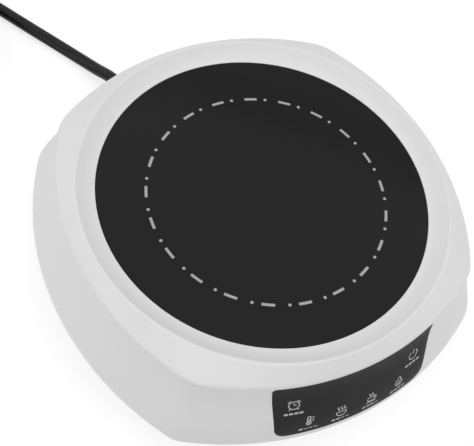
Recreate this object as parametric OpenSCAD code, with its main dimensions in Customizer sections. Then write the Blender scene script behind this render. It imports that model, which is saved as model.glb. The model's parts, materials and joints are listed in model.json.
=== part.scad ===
// Portable hot plate: a round black glass plate in a white rounded-square body,
// a curved control panel on the front wall and a power cord leaving the back.
// Millimetres. The origin is on the table below the middle of the glass, +Z is up, the front is -Y.

/* [Body] */
// Height of the glass top above the table
body_h = 62; // [58:1:72]
// Half width across the widest line, at the middle of a side
body_half = 98.5; // [96:0.5:106]
// Distance from the middle to a rounded corner on the widest line
body_corner = 107; // [105:0.5:114]
// Half width of the wall at the crease below its top slope
crease_half = 89.7; // [88:0.1:92]
// Distance from the middle to a corner of the crease
crease_corner = 97; // [95:0.5:103]
// How far the crease lies below the glass top
crease_drop = 1.4; // [1:0.1:3]
// Radius of the round crest that the top slope rises to
crest_r = 84; // [83:0.1:85]
// Height of the crest above the glass top
crest_rise = 4.7; // [3:0.1:5]
// Width of the crest
crest_w = 0.8; // [0.6:0.1:1.2]
// How far behind the middle the axis of each curved side lies
side_shift = 39; // [30:1:60]
// Height of the widest line, where the two shells meet
seam_z = 23; // [21:0.5:26]
// Thickness of both shells
wall = 2.4; // [2:0.1:2.8]
// Height of the tongue on the lower shell above the seam
tongue_h = 3; // [2:0.5:4]
// Thickness of the tongue
tongue_t = 1.5; // [1.2:0.1:2]
// Gap between the tongue and the upper shell
tongue_gap = 0.3; // [0.2:0.05:0.5]
// Height of the lower shell's underside above the table
skirt_z = 4; // [3:0.5:5]
// Half width of the lower shell at its underside
tray_half = 86.5; // [84:0.5:90]
// Bevel round the lower shell's underside
tray_bevel = 1.5; // [1:0.1:2]

/* [Feet and housing screws] */
// Radius of a rubber foot
foot_r = 7.5; // [6:0.5:9]
// Depth of a foot's pocket in the floor
foot_pocket = 1; // [0.6:0.1:1.2]
// Distance of the feet from the middle, on the diagonals
foot_place = 70; // [66:1:74]
// Distance of the housing screws from the middle, on the diagonals
corner_screw_place = 85; // [83:0.5:87]
// Radius of a housing screw's shank
corner_screw_r = 1.5; // [1.2:0.1:1.8]
// Height of the seat under a housing screw's head
corner_seat_z = 15; // [12:0.5:18]
// Reach of a housing screw above its seat
corner_screw_l = 21; // [16:1:24]

/* [Glass] */
// Radius of the glass plate
glass_r = 75; // [73:0.5:76]
// Thickness of the glass plate
glass_t = 4; // [3.5:0.1:4.5]
// How far the glass stands above the inner edge of the dish round it
glass_proud = 0.2; // [0.1:0.1:0.4]
// Gap round the glass
glass_gap = 0.3; // [0.2:0.05:0.5]
// Hollowness of the dish between the glass and the crest, 1 for a straight slope
dish_power = 1.4; // [1:0.1:2]
// Width of the ledge that carries the glass
ledge_w = 5.3; // [4:0.1:6]
// Thickness of the ledge
ledge_t = 2.4; // [2:0.1:3]
// Thickness of the silicone seal under the glass
seal_t = 0.6; // [0.4:0.1:1]
// Width of the seal
seal_w = 4; // [3:0.1:4]

/* [Heater] */
// Outer radius of the steel pan
pan_r = 58; // [54:0.5:60]
// Thickness of the pan's sheet
pan_t = 1; // [0.6:0.1:1.2]
// Gap between the pan's rim and the glass
pan_rim_gap = 2; // [1.5:0.1:3]
// Depth of the pan
pan_h = 20; // [18:0.5:21]
// Thickness of the insulation slab in the pan
slab_t = 10; // [9:0.5:11]
// Width of the insulating rim
rim_w = 6.5; // [5:0.5:8]
// Height of the heating ribbon
ribbon_h = 3.6; // [3:0.1:3.8]
// Thickness of the heating ribbon
ribbon_t = 0.6; // [0.5:0.1:1]
// Inner end of the ribbon's spiral
ribbon_in = 12; // [10:0.5:14]
// Spacing of the spiral's turns
ribbon_pitch = 6.6; // [6:0.1:6.8]
// Turns of the spiral
ribbon_turns = 5; // [3:1:5]
// Radius of the thermal limiter's rod
rod_r = 1.6; // [1.2:0.1:1.8]
// Gap round the rod where it passes through
rod_gap = 0.15; // [0.1:0.05:0.3]
// Distance of the rod's axis below the glass
rod_drop = 4.8; // [4.4:0.1:5]
// Length of the limiter's switch head
limiter_l = 13; // [11:0.5:14]
// Width of the limiter's switch head
limiter_w = 12; // [10:0.5:14]
// Width of the bar that carries the pan
bar_w = 16; // [12:1:20]
// Thickness of the bar that carries the pan
bar_t = 1; // [0.8:0.1:1.5]
// Radius of the bosses that the bar is screwed to
bar_boss_r = 4; // [3.5:0.1:4.5]
// Radius of a heater screw's shank
bar_screw_r = 1.5; // [1.2:0.1:1.8]
// Radius of the heat shield
shield_r = 71; // [70:0.5:72]
// Thickness of the heat shield
shield_t = 0.8; // [0.6:0.1:1]
// Gap between the heat shield and the bar
shield_gap = 3.4; // [3:0.1:4]
// Sideways place of the two rear shield posts
shield_post_x = 40; // [38:0.5:42]
// Place of the two rear shield posts towards the back
shield_post_y = 56; // [55:0.5:57]
// Place of the front shield post towards the front
shield_post_front = 60; // [56:0.5:62]
// Radius of a shield post
shield_post_r = 3.5; // [3:0.1:4]
// Length of the sensor block under the glass
sensor_l = 8; // [6:0.5:8]

/* [Fan] */
// Side of the square fan frame
fan_size = 60; // [56:1:62]
// Thickness of the fan
fan_t = 15; // [14:0.5:15]
// Place of the fan's axis across the body
fan_x = -30; // [-33:0.5:-29]
// Place of the fan's axis towards the back
fan_y = 6; // [2:0.5:10]
// Gap between the fan and the floor
fan_lift = 2.6; // [2:0.1:3]
// Radius of the fan's duct
duct_r = 28; // [27:0.1:28]
// Gap between the blade tips and the duct
blade_gap = 0.8; // [0.6:0.1:1.2]
// Radius of the rotor's hub
hub_r = 14; // [13:0.5:15]
// Number of blades
blade_count = 7; // [5:1:9]
// Pitch of the blades in degrees
blade_pitch = 35; // [30:1:40]
// Thickness of a blade
blade_t = 1; // [0.8:0.1:1.2]
// Radius of the rotor's shaft
shaft_r = 1.5; // [1.2:0.1:1.8]
// Running gap round the shaft
shaft_gap = 0.05; // [0.03:0.01:0.08]
// Radius of the bearing post
bearing_r = 4; // [3.5:0.1:4.5]
// Distance between the fan's screw holes
fan_screw_pitch = 50; // [48:0.5:51]
// Radius of a fan screw's shank
fan_screw_r = 1.5; // [1.2:0.1:1.6]

/* [Power board] */
// Size of the power board across the body
board_x = 64; // [60:1:66]
// Size of the power board from front to back
board_y = 92; // [88:1:94]
// Thickness of both circuit boards
board_t = 1.6; // [1.2:0.1:2]
// Place of the power board's middle across the body
board_place = 40; // [39:0.5:42]
// Height of the posts under the power board
board_lift = 3.6; // [3:0.1:4]
// Distance of the power board's screws from its edges
board_screw_edge = 4.5; // [4:0.1:5]
// Radius of a post under the power board
board_post_r = 3.2; // [3:0.1:3.6]
// Radius of a board screw's shank
board_screw_r = 1.2; // [1:0.1:1.4]

/* [Control panel] */
// Half width of the panel's film at its top
film_top_half = 39.8; // [38:0.2:42]
// Half width of the panel's film at its bottom
film_bottom_half = 38; // [37:0.2:41]
// Height of the film's bottom edge above the table
film_z0 = 27; // [25.5:0.1:28]
// Height of the film's top edge above the table
film_z1 = 58.9; // [56:0.1:59.6]
// Rounding of the film's bottom corners
film_bottom_r = 6; // [4:0.5:8]
// Rounding of the film's top corners
film_top_r = 2; // [1:0.5:3]
// Thickness of the film
film_t = 0.3; // [0.2:0.05:0.5]
// Gap round the film and thickness of the glue behind it
film_gap = 0.05; // [0.03:0.01:0.08]
// Place of the two upper keys to each side
upper_key_x = 30; // [28:0.5:31]
// Height of the two upper keys
upper_key_z = 46.6; // [45.8:0.1:47.4]
// Spacing of the four lower keys
lower_key_pitch = 15.3; // [14:0.1:15.6]
// Height of the four lower keys
lower_key_z = 35.2; // [34:0.1:36]
// Radius of a key
key_r = 3.25; // [3:0.05:3.5]
// Running gap round a key
key_gap = 0.05; // [0.03:0.01:0.08]
// Gap between a key and the glue behind the film
key_film_gap = 0.1; // [0.05:0.05:0.2]
// Depth of a key's flange behind the outer surface
key_flange_depth = 4.4; // [4.2:0.1:4.8]
// Width of a key's flange past the key
key_flange_w = 0.95; // [0.8:0.05:1.1]
// Thickness of a key's flange
key_flange_t = 1; // [0.8:0.1:1.2]
// Radius of a key's stem
key_stem_r = 1.6; // [1.4:0.1:1.8]
// Depth to which a key can be pressed
key_travel = 0.3; // [0.2:0.05:0.4]
// Lean of the control board in degrees, past the wall's own lean between the rows of keys
panel_tilt = 0; // [-2:0.5:2]
// Height at which the control board lies square behind the wall
panel_z = 41; // [40:0.5:42]
// Depth of the control board behind the deepest key
control_depth = 10.75; // [10.3:0.05:11.8]
// Width of the control board
control_w = 78; // [74:1:80]
// Height of the control board
control_h = 24; // [23:0.5:25]
// Side of a key's switch
switch_w = 6; // [5:0.1:6.2]
// Height of a key's switch
switch_h = 4; // [3.6:0.1:4.2]
// Sideways place of the control board's two upper screws
control_screw_x = 14; // [12:0.5:16]
// Place of the control board's upper screws along its height
control_screw_v = 8.5; // [8:0.1:9]
// Radius of a boss behind the panel
control_boss_r = 2.4; // [2:0.1:2.6]
// Radius of a control board screw's shank
control_screw_r = 1; // [0.8:0.1:1.2]
// Radius of an indicator light
led_r = 1.2; // [1:0.1:1.3]

/* [Cord] */
// Diameter of the cord
cord_d = 6.4; // [5.8:0.1:6.6]
// Sideways place of the cord's way out at the back
cord_x = -16.5; // [-18:0.5:-15]
// Height of the cord's way out
cord_z = 12.5; // [12:0.1:13]
// Place of the outer face of the cord's way out from the widest line
cord_boss_y = -2; // [-2.5:0.5:0.5]
// Thickness of the wall that the strain relief is held in
cord_boss_t = 8.5; // [7:0.5:9]
// Width of the cord's way out
cord_boss_w = 20; // [18:0.5:22]
// Gap round the cord in the strain relief
cord_gap = 0.1; // [0.05:0.05:0.2]
// Radius of the strain relief in its wall
relief_r = 4.8; // [4.6:0.1:5]
// Radius of the strain relief's flanges
relief_flange_r = 5.8; // [5.5:0.1:6]
// Thickness of the strain relief's flanges
relief_flange_t = 2; // [1.5:0.1:2.5]
// Length of the strain relief's sleeve behind the body
relief_sleeve_l = 10; // [8:0.5:10]
// Place of the middle of the cord clamp from the outer face of the cord's way out
clamp_y = -16.5; // [-17:0.1:-16]
// Size of the cord clamp along the cord
clamp_l = 8; // [6:0.5:8]
// Width of the cord clamp
clamp_w = 24; // [22:0.5:26]
// Height of the clamp above the cord's axis
clamp_h = 5; // [4.6:0.1:6]
// Distance between the clamp's screws
clamp_screw_pitch = 17; // [15:0.5:18]
// Turns of the put-away coil in each of its two layers
coil_turns = 2.25; // [2.25:1:3.25]
// Radius of the coil's outer turn, at the cord's middle
coil_out = 43; // [42:0.5:46]
// Gap between neighbouring turns of the coil
coil_gap = 0.8; // [0.6:0.1:1]
// Straight length of cord between the coil and the plug
coil_tail = 24; // [22:1:30]
// Thickness of the tie round the coil
tie_t = 1.2; // [1:0.1:1.4]
// Width of the tie round the coil
tie_w = 6; // [5:0.5:8]
// Gap between the tie and the cord
tie_gap = 0.3; // [0.25:0.05:0.4]

/* [Plug] */
// Length of the plug's body
plug_l = 30; // [26:1:34]
// Width of the plug's body
plug_w = 27; // [25:0.5:30]
// Length of the plug's sleeve round the cord
plug_sleeve_l = 18; // [14:1:22]
// Distance between the two flat blades
blade_pitch_w = 12.7; // [12.5:0.1:13]
// Width of a flat blade
plug_blade_w = 6.4; // [6:0.1:6.8]
// Thickness of a flat blade
plug_blade_t = 1.5; // [1.4:0.1:1.7]
// Free length of a flat blade
plug_blade_l = 17; // [15:0.5:18]
// Radius of the earth pin
earth_r = 2.4; // [2.2:0.1:2.6]
// Free length of the earth pin
earth_l = 20; // [18:0.5:21]
// Distance from the blades' line to the earth pin
earth_drop = 11.9; // [11:0.1:12.2]
// Depth to which the blades and the pin are moulded in
blade_root = 8; // [6:0.5:10]

/* [Hidden] */
$fn = 64;
// Facets of the large curved sides
side_fn = 144;
// Steps of the wall's curve and of the dish
wall_steps = 8;
dish_steps = 5;
// Small overlap where pieces of one solid meet, and overshoot of cuts
weld = 0.4;
past = 1;
// Thickness of a slanted wall measured level, and play round screws and heads that pass through
slant_wall = 1.2 * wall;
shank_gap = 0.3;
head_gap = 0.8;
// How far screws from above reach into the floor
floor_bite = 1.2;

// Heights
crease_z = body_h - crease_drop;
crest_z = body_h + crest_rise;
lip_z = body_h - glass_proud;
glass_z = body_h - glass_t;
ledge_z = glass_z - seal_t;
ledge_bottom = ledge_z - ledge_t;
floor_z = skirt_z + wall;
pan_top = glass_z - pan_rim_gap;
pan_z = pan_top - pan_h;
slab_top = pan_z + pan_t + slab_t;
rod_z = glass_z - rod_drop;
bar_z = pan_z - bar_t;
shield_z = bar_z - shield_gap - shield_t;
fan_z = floor_z + fan_lift;
board_z = floor_z + board_lift;
board_top = board_z + board_t;

// Radii of the dish's two edges and of the ledge
recess_r = glass_r + glass_gap;
dish_r = crest_r - crest_w;
ledge_r = recess_r - ledge_w;

// Heads of the screws
function head_r(shank) = shank * 1.9;
function head_h(shank) = shank * 1.4;

// Half width and corner distance of the upper shell at a height
function swell(z) = (1 + cos(180 * (z - seam_z) / (crease_z - seam_z))) / 2;
function wall_half(z) = crease_half + (body_half - crease_half) * swell(z);
function wall_corner(z) = crease_corner + (body_corner - crease_corner) * swell(z);
function wall_at(z, side) = side ? wall_half(z) : wall_corner(z);

// Half-section of the upper shell drawn in by t, on a side or on a corner: the wall up to the crease, then the
// slope to the crest. The sides pass a little outside the crest, so that the crest is one circle.
crest_clear = 0.4;
side_draw = 0.4;
corner_draw = 0.65;
crest_draw = 1.4;
crest_in = 0.2;
function upper_line(t, side, low) =
    let (top = crease_z - (side ? side_draw : corner_draw) * t)
    concat(low < seam_z ? [[wall_at(seam_z, side) - t, low]] : [],
        [for (i = [0:wall_steps]) let (z = seam_z + (top - seam_z) * i / wall_steps)
            [wall_at(z, side) - t, z]],
        [[crest_r + (side ? crest_clear : -crest_in * t), crest_z - crest_draw * t]]);

// The dish between the glass and the crest, drawn down by t
dish_draw = 1.35;
function dish_z(r) = lip_z + (crest_z - lip_z) * pow((r - recess_r) / (dish_r - recess_r), dish_power);
function dish_line(t) = [for (i = [0:dish_steps]) let (r = recess_r + (dish_r - recess_r) * i / dish_steps)
    [r, dish_z(r) - t]];

// Half-section of the lower shell drawn in by t
tray_corner = tray_half + body_corner - body_half;
function tray_line(t, side, low, high) =
    let (foot = (side ? tray_half : tray_corner) - t, rim = (side ? body_half : body_corner) - t)
    concat(t == 0 ? [[foot - tray_bevel, low], [foot, low + tray_bevel]] : [[foot, low]],
        [[rim, seam_z]], high > seam_z ? [[rim, high]] : []);

// Closes a half-section to an axis that lies d behind the middle
function closed_line(line, d) = concat([[0, line[0][1]]], [for (p = line) [p[0] + d, p[1]]],
    [[0, line[len(line) - 1][1]]]);

// A rounded square: four curved sides, each turned about its own axis, and four turned corners
module rounded_square(sides, corners) {
    intersection() {
        intersection_for (i = [0:3])
            rotate(90 * i) translate([0, side_shift, 0])
                rotate_extrude($fn = side_fn) polygon(closed_line(sides, side_shift));
        rotate_extrude($fn = side_fn) polygon(closed_line(corners, 0));
    }
}

module upper_block(t, low) {
    rounded_square(upper_line(t, true, low), upper_line(t, false, low));
}

module tray_block(t, low, high) {
    rounded_square(tray_line(t, true, low, high), tray_line(t, false, low, high));
}

module straight_block(t, low, high) {
    rounded_square([[body_half - t, low], [body_half - t, high]],
        [[body_corner - t, low], [body_corner - t, high]]);
}

// The front wall's surface: its place at x and z, and a skin of it between two depths
function front_y(x, z) = side_shift - sqrt(pow(wall_half(z) + side_shift, 2) - x * x);
function front_line(t) = [for (i = [0:wall_steps]) let (z = seam_z + (crease_z - seam_z) * i / wall_steps)
    [wall_half(z) + side_shift - t, z]];

module front_skin(t0, t1) {
    translate([0, side_shift, 0]) rotate_extrude($fn = side_fn)
        polygon(concat(front_line(t0), [for (i = [wall_steps:-1:0]) front_line(t1)[i]]));
}

module front_body(t) {
    translate([0, side_shift, 0]) rotate_extrude($fn = side_fn)
        polygon(concat([[0, seam_z]], front_line(t), [[0, crease_z]]));
}

// Outline of the film, seen from the front, and the prism through the front wall
function arc(c, r, a0, a1, n) = [for (i = [0:n]) let (a = a0 + (a1 - a0) * i / n) c + r * [cos(a), sin(a)]];
film_arc_steps = 4;

module film_prism(gap) {
    b = film_bottom_r;
    t = film_top_r;
    rotate([90, 0, 0]) translate([0, 0, crease_half / 2]) linear_extrude(body_half)
        polygon(concat(
            arc([film_bottom_half - b, film_z0 + b], b + gap, -90, 0, film_arc_steps),
            arc([film_top_half - t, film_z1 - t], t + gap, 0, 90, film_arc_steps),
            arc([-film_top_half + t, film_z1 - t], t + gap, 90, 180, film_arc_steps),
            arc([-film_bottom_half + b, film_z0 + b], b + gap, 180, 270, film_arc_steps)));
}

// Frame of the control board: x to the right, y up the board, z out of the wall
wall_lean = atan((wall_half(lower_key_z) - wall_half(upper_key_z)) / (upper_key_z - lower_key_z));
panel_lean = wall_lean + panel_tilt;

module on_panel() {
    translate([0, -wall_half(panel_z), panel_z]) rotate([90 - panel_lean, 0, 0]) children();
}

// Keys: place on the front wall, and the same place in the control board's frame
KEYS = concat([[-upper_key_x, upper_key_z]],
    [for (i = [0:3]) [(i - 1.5) * lower_key_pitch, lower_key_z]], [[upper_key_x, upper_key_z]]);
function key_dy(i) = front_y(KEYS[i][0], KEYS[i][1]) + wall_half(panel_z);
function key_dz(i) = KEYS[i][1] - panel_z;
function key_v(i) = key_dy(i) * sin(panel_lean) + key_dz(i) * cos(panel_lean);
function wall_w(x, z) = (z - panel_z) * sin(panel_lean)
    - (front_y(x, z) + wall_half(panel_z)) * cos(panel_lean);
function key_w(i) = wall_w(KEYS[i][0], KEYS[i][1]);
// Place of the control board's front face, square behind the wall at panel_z
board_w = min([for (i = [0:5]) key_w(i)]) - control_depth;
// An indicator light sits beside each key, above the lower ones and below the upper ones
led_step = 6.2;
function led_v(i) = key_v(i) + (KEYS[i][1] > panel_z ? -led_step : led_step);
CONTROL_SCREWS = [[-control_screw_x, control_screw_v], [control_screw_x, control_screw_v]];
// The control board's bosses end in the middle of the wall
control_boss_w = wall_w(control_screw_x, panel_z + control_screw_v * cos(panel_lean))
    - slant_wall * cos(panel_lean) / 2;

module at_key(i) {
    on_panel() translate([KEYS[i][0], key_v(i), key_w(i)]) children();
}

// Places that repeat
module corners4(r) {
    for (i = [0:3]) rotate(45 + 90 * i) translate([r, 0, 0]) children();
}

module at_fan_screws() {
    for (x = [-1, 1], y = [-1, 1])
        translate([fan_x + x * fan_screw_pitch / 2, fan_y + y * fan_screw_pitch / 2, 0]) children();
}

module at_board_screws() {
    for (x = [-1, 1], y = [-1, 1]) translate([board_place + x * (board_x / 2 - board_screw_edge),
        y * (board_y / 2 - board_screw_edge), 0]) children();
}

module at_shield_posts() {
    for (p = [[-shield_post_x, shield_post_y], [shield_post_x, shield_post_y], [0, -shield_post_front]])
        translate([p[0], p[1], 0]) children();
}

bar_screw_place = recess_r - bar_boss_r;

module at_bar_screws() {
    for (x = [-1, 1]) translate([x * bar_screw_place, 0, 0]) children();
}

module at_clamp_screws() {
    for (x = [-1, 1]) translate([cord_x + x * clamp_screw_pitch / 2, clamp_mid_y, 0]) children();
}

// A screw whose head sits above z = 0 and whose shank reaches down to -l
module screw(r, l) {
    translate([0, 0, -l]) cylinder(r = r, h = l);
    cylinder(r = head_r(r), h = head_h(r));
}

// A hole or bar along +Y from y0 to y1
module along_y(x, z, r, y0, y1) {
    translate([x, y0, z]) rotate([-90, 0, 0]) cylinder(r = r, h = y1 - y0);
}

// Upper shell with the dish, the ledge, the bosses, the panel's recess and the key holes
boss_r = 4.5;
boss_foot = seam_z + past;

module upper_housing() color("whitesmoke") difference() {
    union() {
        difference() {
            upper_block(0, seam_z);
            upper_block(wall, seam_z - past);
            translate([0, 0, seam_z]) cylinder(r = ledge_r, h = body_h);
        }
        rotate_extrude($fn = side_fn) polygon(concat([[ledge_r, ledge_bottom], [recess_r + wall, ledge_bottom]],
            [for (p = dish_line(dish_draw * wall)) if (p[0] > recess_r + wall) p],
            [[dish_r, crest_z - weld], [ledge_r, crest_z - weld]]));
        intersection() {
            upper_block(wall / 2, seam_z);
            corners4(corner_screw_place) translate([0, 0, boss_foot]) cylinder(r = boss_r, h = crest_z);
        }
        at_bar_screws() translate([0, 0, pan_z]) cylinder(r = bar_boss_r, h = ledge_bottom + weld - pan_z);
        for (p = CONTROL_SCREWS) on_panel() translate([p[0], p[1], board_w])
            cylinder(r = control_boss_r, h = control_boss_w - board_w);
    }
    translate([0, 0, ledge_z]) cylinder(r = recess_r, h = body_h, $fn = side_fn);
    rotate_extrude($fn = side_fn) polygon(concat([[0, lip_z]], dish_line(0),
        [[dish_r, crest_z + past], [0, crest_z + past]]));
    corners4(corner_screw_place) translate([0, 0, seam_z])
        cylinder(r = corner_screw_r, h = corner_seat_z + corner_screw_l - seam_z);
    at_bar_screws() translate([0, 0, pan_z - past]) cylinder(r = bar_screw_r, h = bar_screw_l - bar_t + past);
    for (p = CONTROL_SCREWS) on_panel() translate([p[0], p[1], board_w - past])
        cylinder(r = control_screw_r, h = control_screw_l - board_t + past);
    intersection() {
        front_skin(-past, film_t + film_gap);
        film_prism(film_gap);
    }
    for (i = [0:5]) {
        at_key(i) translate([0, 0, -control_depth / 2]) cylinder(r = key_r + key_gap, h = control_depth);
        on_panel() translate([KEYS[i][0], led_v(i), board_w / 2]) cylinder(r = led_r, h = control_depth);
    }
}

// Lower shell with the floor, the tongue, the posts, the vents and the cord's way out
tower_r = 5.5;
fan_post_r = 4;
slot_w = 5;
slot_pitch = 9;
slot_side = 2;
slot_rim = 2;
vent_w = 3;
vent_h = 7;
vent_pitch = 8;
vent_side = 4;
vent_rise = 4;
vent_z = floor_z + vent_rise;
cord_boss_rim = 1.2;
cord_face_y = body_half + cord_boss_y;
clamp_mid_y = cord_face_y + clamp_y;
cord_boss_top = cord_z + relief_flange_r + cord_boss_rim;
clamp_back = clamp_mid_y + clamp_l / 2;
cord_hole_r = cord_d / 2 + cord_gap;

module lower_housing() color("whitesmoke") difference() {
    union() {
        difference() {
            tray_block(0, skirt_z, seam_z);
            tray_block(slant_wall, floor_z, seam_z + past);
        }
        difference() {
            straight_block(wall + tongue_gap, seam_z - tongue_h, seam_z + tongue_h);
            straight_block(wall + tongue_gap + tongue_t, seam_z - tongue_h - past, seam_z + tongue_h + past);
        }
        corners4(corner_screw_place) translate([0, 0, floor_z - weld])
            cylinder(r = tower_r, h = boss_foot - floor_z + weld);
        at_fan_screws() translate([0, 0, floor_z - weld]) cylinder(r = fan_post_r, h = fan_lift + weld);
        at_board_screws() translate([0, 0, floor_z - weld]) cylinder(r = board_post_r, h = board_lift + weld);
        at_shield_posts() translate([0, 0, floor_z - weld])
            cylinder(r = shield_post_r, h = shield_z - floor_z + weld);
        translate([cord_x - cord_boss_w / 2, cord_face_y - cord_boss_t, skirt_z])
            cube([cord_boss_w, cord_boss_t, cord_boss_top - skirt_z]);
        translate([cord_x - clamp_w / 2, clamp_mid_y - clamp_l / 2, floor_z - weld])
            cube([clamp_w, clamp_l, cord_z - floor_z + weld]);
    }
    corners4(corner_screw_place) {
        translate([0, 0, skirt_z - past]) cylinder(r = head_r(corner_screw_r) + head_gap,
            h = corner_seat_z - skirt_z + past);
        cylinder(r = corner_screw_r + shank_gap, h = body_h);
    }
    corners4(foot_place) cylinder(r = foot_r, h = skirt_z + foot_pocket);
    at_fan_screws() translate([0, 0, fan_z + fan_t - fan_screw_l]) cylinder(r = fan_screw_r, h = body_h);
    at_board_screws() translate([0, 0, board_top - board_screw_l]) cylinder(r = board_screw_r, h = body_h);
    at_shield_posts() translate([0, 0, shield_z + shield_t - shield_screw_l])
        cylinder(r = board_screw_r, h = body_h);
    at_clamp_screws() translate([0, 0, cord_z + clamp_h - clamp_screw_l])
        cylinder(r = board_screw_r, h = body_h);
    intersection() {
        translate([fan_x, fan_y, 0]) cylinder(r = duct_r - slot_rim, h = fan_z);
        for (i = [-slot_side:slot_side]) translate([fan_x + i * slot_pitch - slot_w / 2, fan_y - duct_r, 0])
            cube([slot_w, 2 * duct_r, fan_z]);
    }
    for (s = [0, 1], i = [-vent_side:vent_side]) mirror([s, 0, 0])
        translate([tray_half - slant_wall, i * vent_pitch - vent_w / 2, vent_z])
            cube([body_half + past - tray_half + slant_wall, vent_w, vent_h]);
    along_y(cord_x, cord_z, relief_r, clamp_back, cord_face_y + past);
    along_y(cord_x, cord_z, cord_hole_r, clamp_mid_y - clamp_l, clamp_mid_y + clamp_l);
    translate([cord_x - relief_flange_r - shank_gap, clamp_back, floor_z])
        cube([2 * (relief_flange_r + shank_gap), cord_face_y - cord_boss_t - clamp_back, body_h]);
}

// Glass and seal
module glass_plate() color([0.12, 0.12, 0.12]) translate([0, 0, glass_z])
    cylinder(r = glass_r, h = glass_t, $fn = side_fn);

module glass_seal() color("dimgray") translate([0, 0, ledge_z]) difference() {
    cylinder(r = glass_r, h = seal_t, $fn = side_fn);
    translate([0, 0, -past]) cylinder(r = glass_r - seal_w, h = seal_t + 2 * past, $fn = side_fn);
}

// Heater: pan, insulation, ribbon, limiter, terminal, carrying bar, shield and sensor
rim_r = pan_r - pan_t;
limiter_y = rim_r + pan_t;
limiter_gap = 0.8;
limiter_top = ledge_bottom - limiter_gap;
limiter_h = 11;
rod_tip_gap = 1;
rod_tip_y = -rim_r + rod_tip_gap;
terminal_angle = 35;
terminal_l = 8;
terminal_w = 15;
terminal_h = 8;
terminal_drop = 4;
terminal_z = slab_top - terminal_drop;
bar_screw_l = 12;
shield_screw_l = 9;

module rod_hole() {
    along_y(0, rod_z, rod_r + rod_gap, rod_tip_y, pan_r + past);
}

module heater_pan() color("silver") difference() {
    translate([0, 0, pan_z]) cylinder(r = pan_r, h = pan_h, $fn = side_fn);
    translate([0, 0, pan_z + pan_t]) cylinder(r = rim_r, h = pan_h, $fn = side_fn);
    rod_hole();
}

module heater_insulation() color("beige") translate([0, 0, pan_z + pan_t])
    cylinder(r = rim_r, h = slab_t, $fn = side_fn);

module insulation_rim() color("beige") difference() {
    translate([0, 0, slab_top]) cylinder(r = rim_r, h = glass_z - slab_top, $fn = side_fn);
    translate([0, 0, slab_top - past]) cylinder(r = rim_r - rim_w, h = glass_z, $fn = side_fn);
    rod_hole();
}

ribbon_steps = 24;
function spiral(d) = [for (i = [0:ribbon_turns * ribbon_steps]) let (a = 360 * i / ribbon_steps)
    (ribbon_in + ribbon_pitch * i / ribbon_steps + d) * [cos(a), sin(a)]];

module heating_ribbon() color("chocolate") translate([0, 0, slab_top]) linear_extrude(ribbon_h)
    polygon(concat(spiral(0), [for (i = [ribbon_turns * ribbon_steps:-1:0]) spiral(ribbon_t)[i]]));

module thermal_limiter() color("antiquewhite") {
    along_y(0, rod_z, rod_r, rod_tip_y, limiter_y + weld);
    translate([-limiter_w / 2, limiter_y, limiter_top - limiter_h]) cube([limiter_w, limiter_l, limiter_h]);
}

module heater_terminal() color("ivory") rotate(terminal_angle) difference() {
    translate([pan_r - past, -terminal_w / 2, terminal_z]) cube([terminal_l + past, terminal_w, terminal_h]);
    translate([0, 0, terminal_z - past]) cylinder(r = pan_r, h = terminal_h + 2 * past, $fn = side_fn);
}

module heater_crossbar() color("gainsboro") difference() {
    union() {
        translate([-bar_screw_place, -bar_w / 2, bar_z]) cube([2 * bar_screw_place, bar_w, bar_t]);
        at_bar_screws() translate([0, 0, bar_z]) cylinder(r = bar_w / 2, h = bar_t);
    }
    at_bar_screws() translate([0, 0, bar_z - past]) cylinder(r = bar_screw_r, h = bar_t + 2 * past);
}

module heat_shield() color("lightgray") difference() {
    translate([0, 0, shield_z]) cylinder(r = shield_r, h = shield_t, $fn = side_fn);
    at_shield_posts() translate([0, 0, shield_z - past]) cylinder(r = board_screw_r, h = shield_t + 2 * past);
}

sensor_angle = 210;
sensor_w = 6;
sensor_h = 3;
sensor_gap = 0.4;

module temperature_sensor() color("peru") rotate(sensor_angle)
    translate([ledge_r - sensor_gap - sensor_l, -sensor_w / 2, glass_z - sensor_h])
        cube([sensor_l, sensor_w, sensor_h]);

// Cooling fan
fan_screw_l = fan_t + fan_lift + floor_bite;
fan_base_t = 2.5;
fan_strut_w = 5;
cup_wall = 1.5;
rotor_lift = 1;
rotor_drop = 0.5;
cup_h = fan_t - fan_base_t - rotor_lift - rotor_drop;
bearing_top = fan_base_t + cup_h - cup_wall;
coil_clear = 1.5;

module fan_frame() color([0.16, 0.16, 0.16]) translate([fan_x, fan_y, fan_z]) {
    difference() {
        translate([-fan_size / 2, -fan_size / 2, 0]) cube([fan_size, fan_size, fan_t]);
        translate([0, 0, -past]) cylinder(r = duct_r, h = fan_t + 2 * past, $fn = side_fn);
        for (x = [-1, 1], y = [-1, 1]) translate([x * fan_screw_pitch / 2, y * fan_screw_pitch / 2, -past])
            cylinder(r = fan_screw_r, h = fan_t + 2 * past);
    }
    difference() {
        union() {
            for (i = [0:1]) rotate(90 * i) translate([-duct_r - weld, -fan_strut_w / 2, 0])
                cube([2 * (duct_r + weld), fan_strut_w, fan_base_t]);
            cylinder(r = hub_r, h = fan_base_t);
            cylinder(r = bearing_r, h = bearing_top);
        }
        translate([0, 0, fan_base_t / 2]) cylinder(r = shaft_r + shaft_gap, h = fan_t);
    }
}

module fan_coil() color("sienna") translate([fan_x, fan_y, fan_z + fan_base_t]) difference() {
    cylinder(r = hub_r - cup_wall - coil_clear, h = cup_h - cup_wall - coil_clear);
    translate([0, 0, -past]) cylinder(r = bearing_r, h = fan_t);
}

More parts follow.
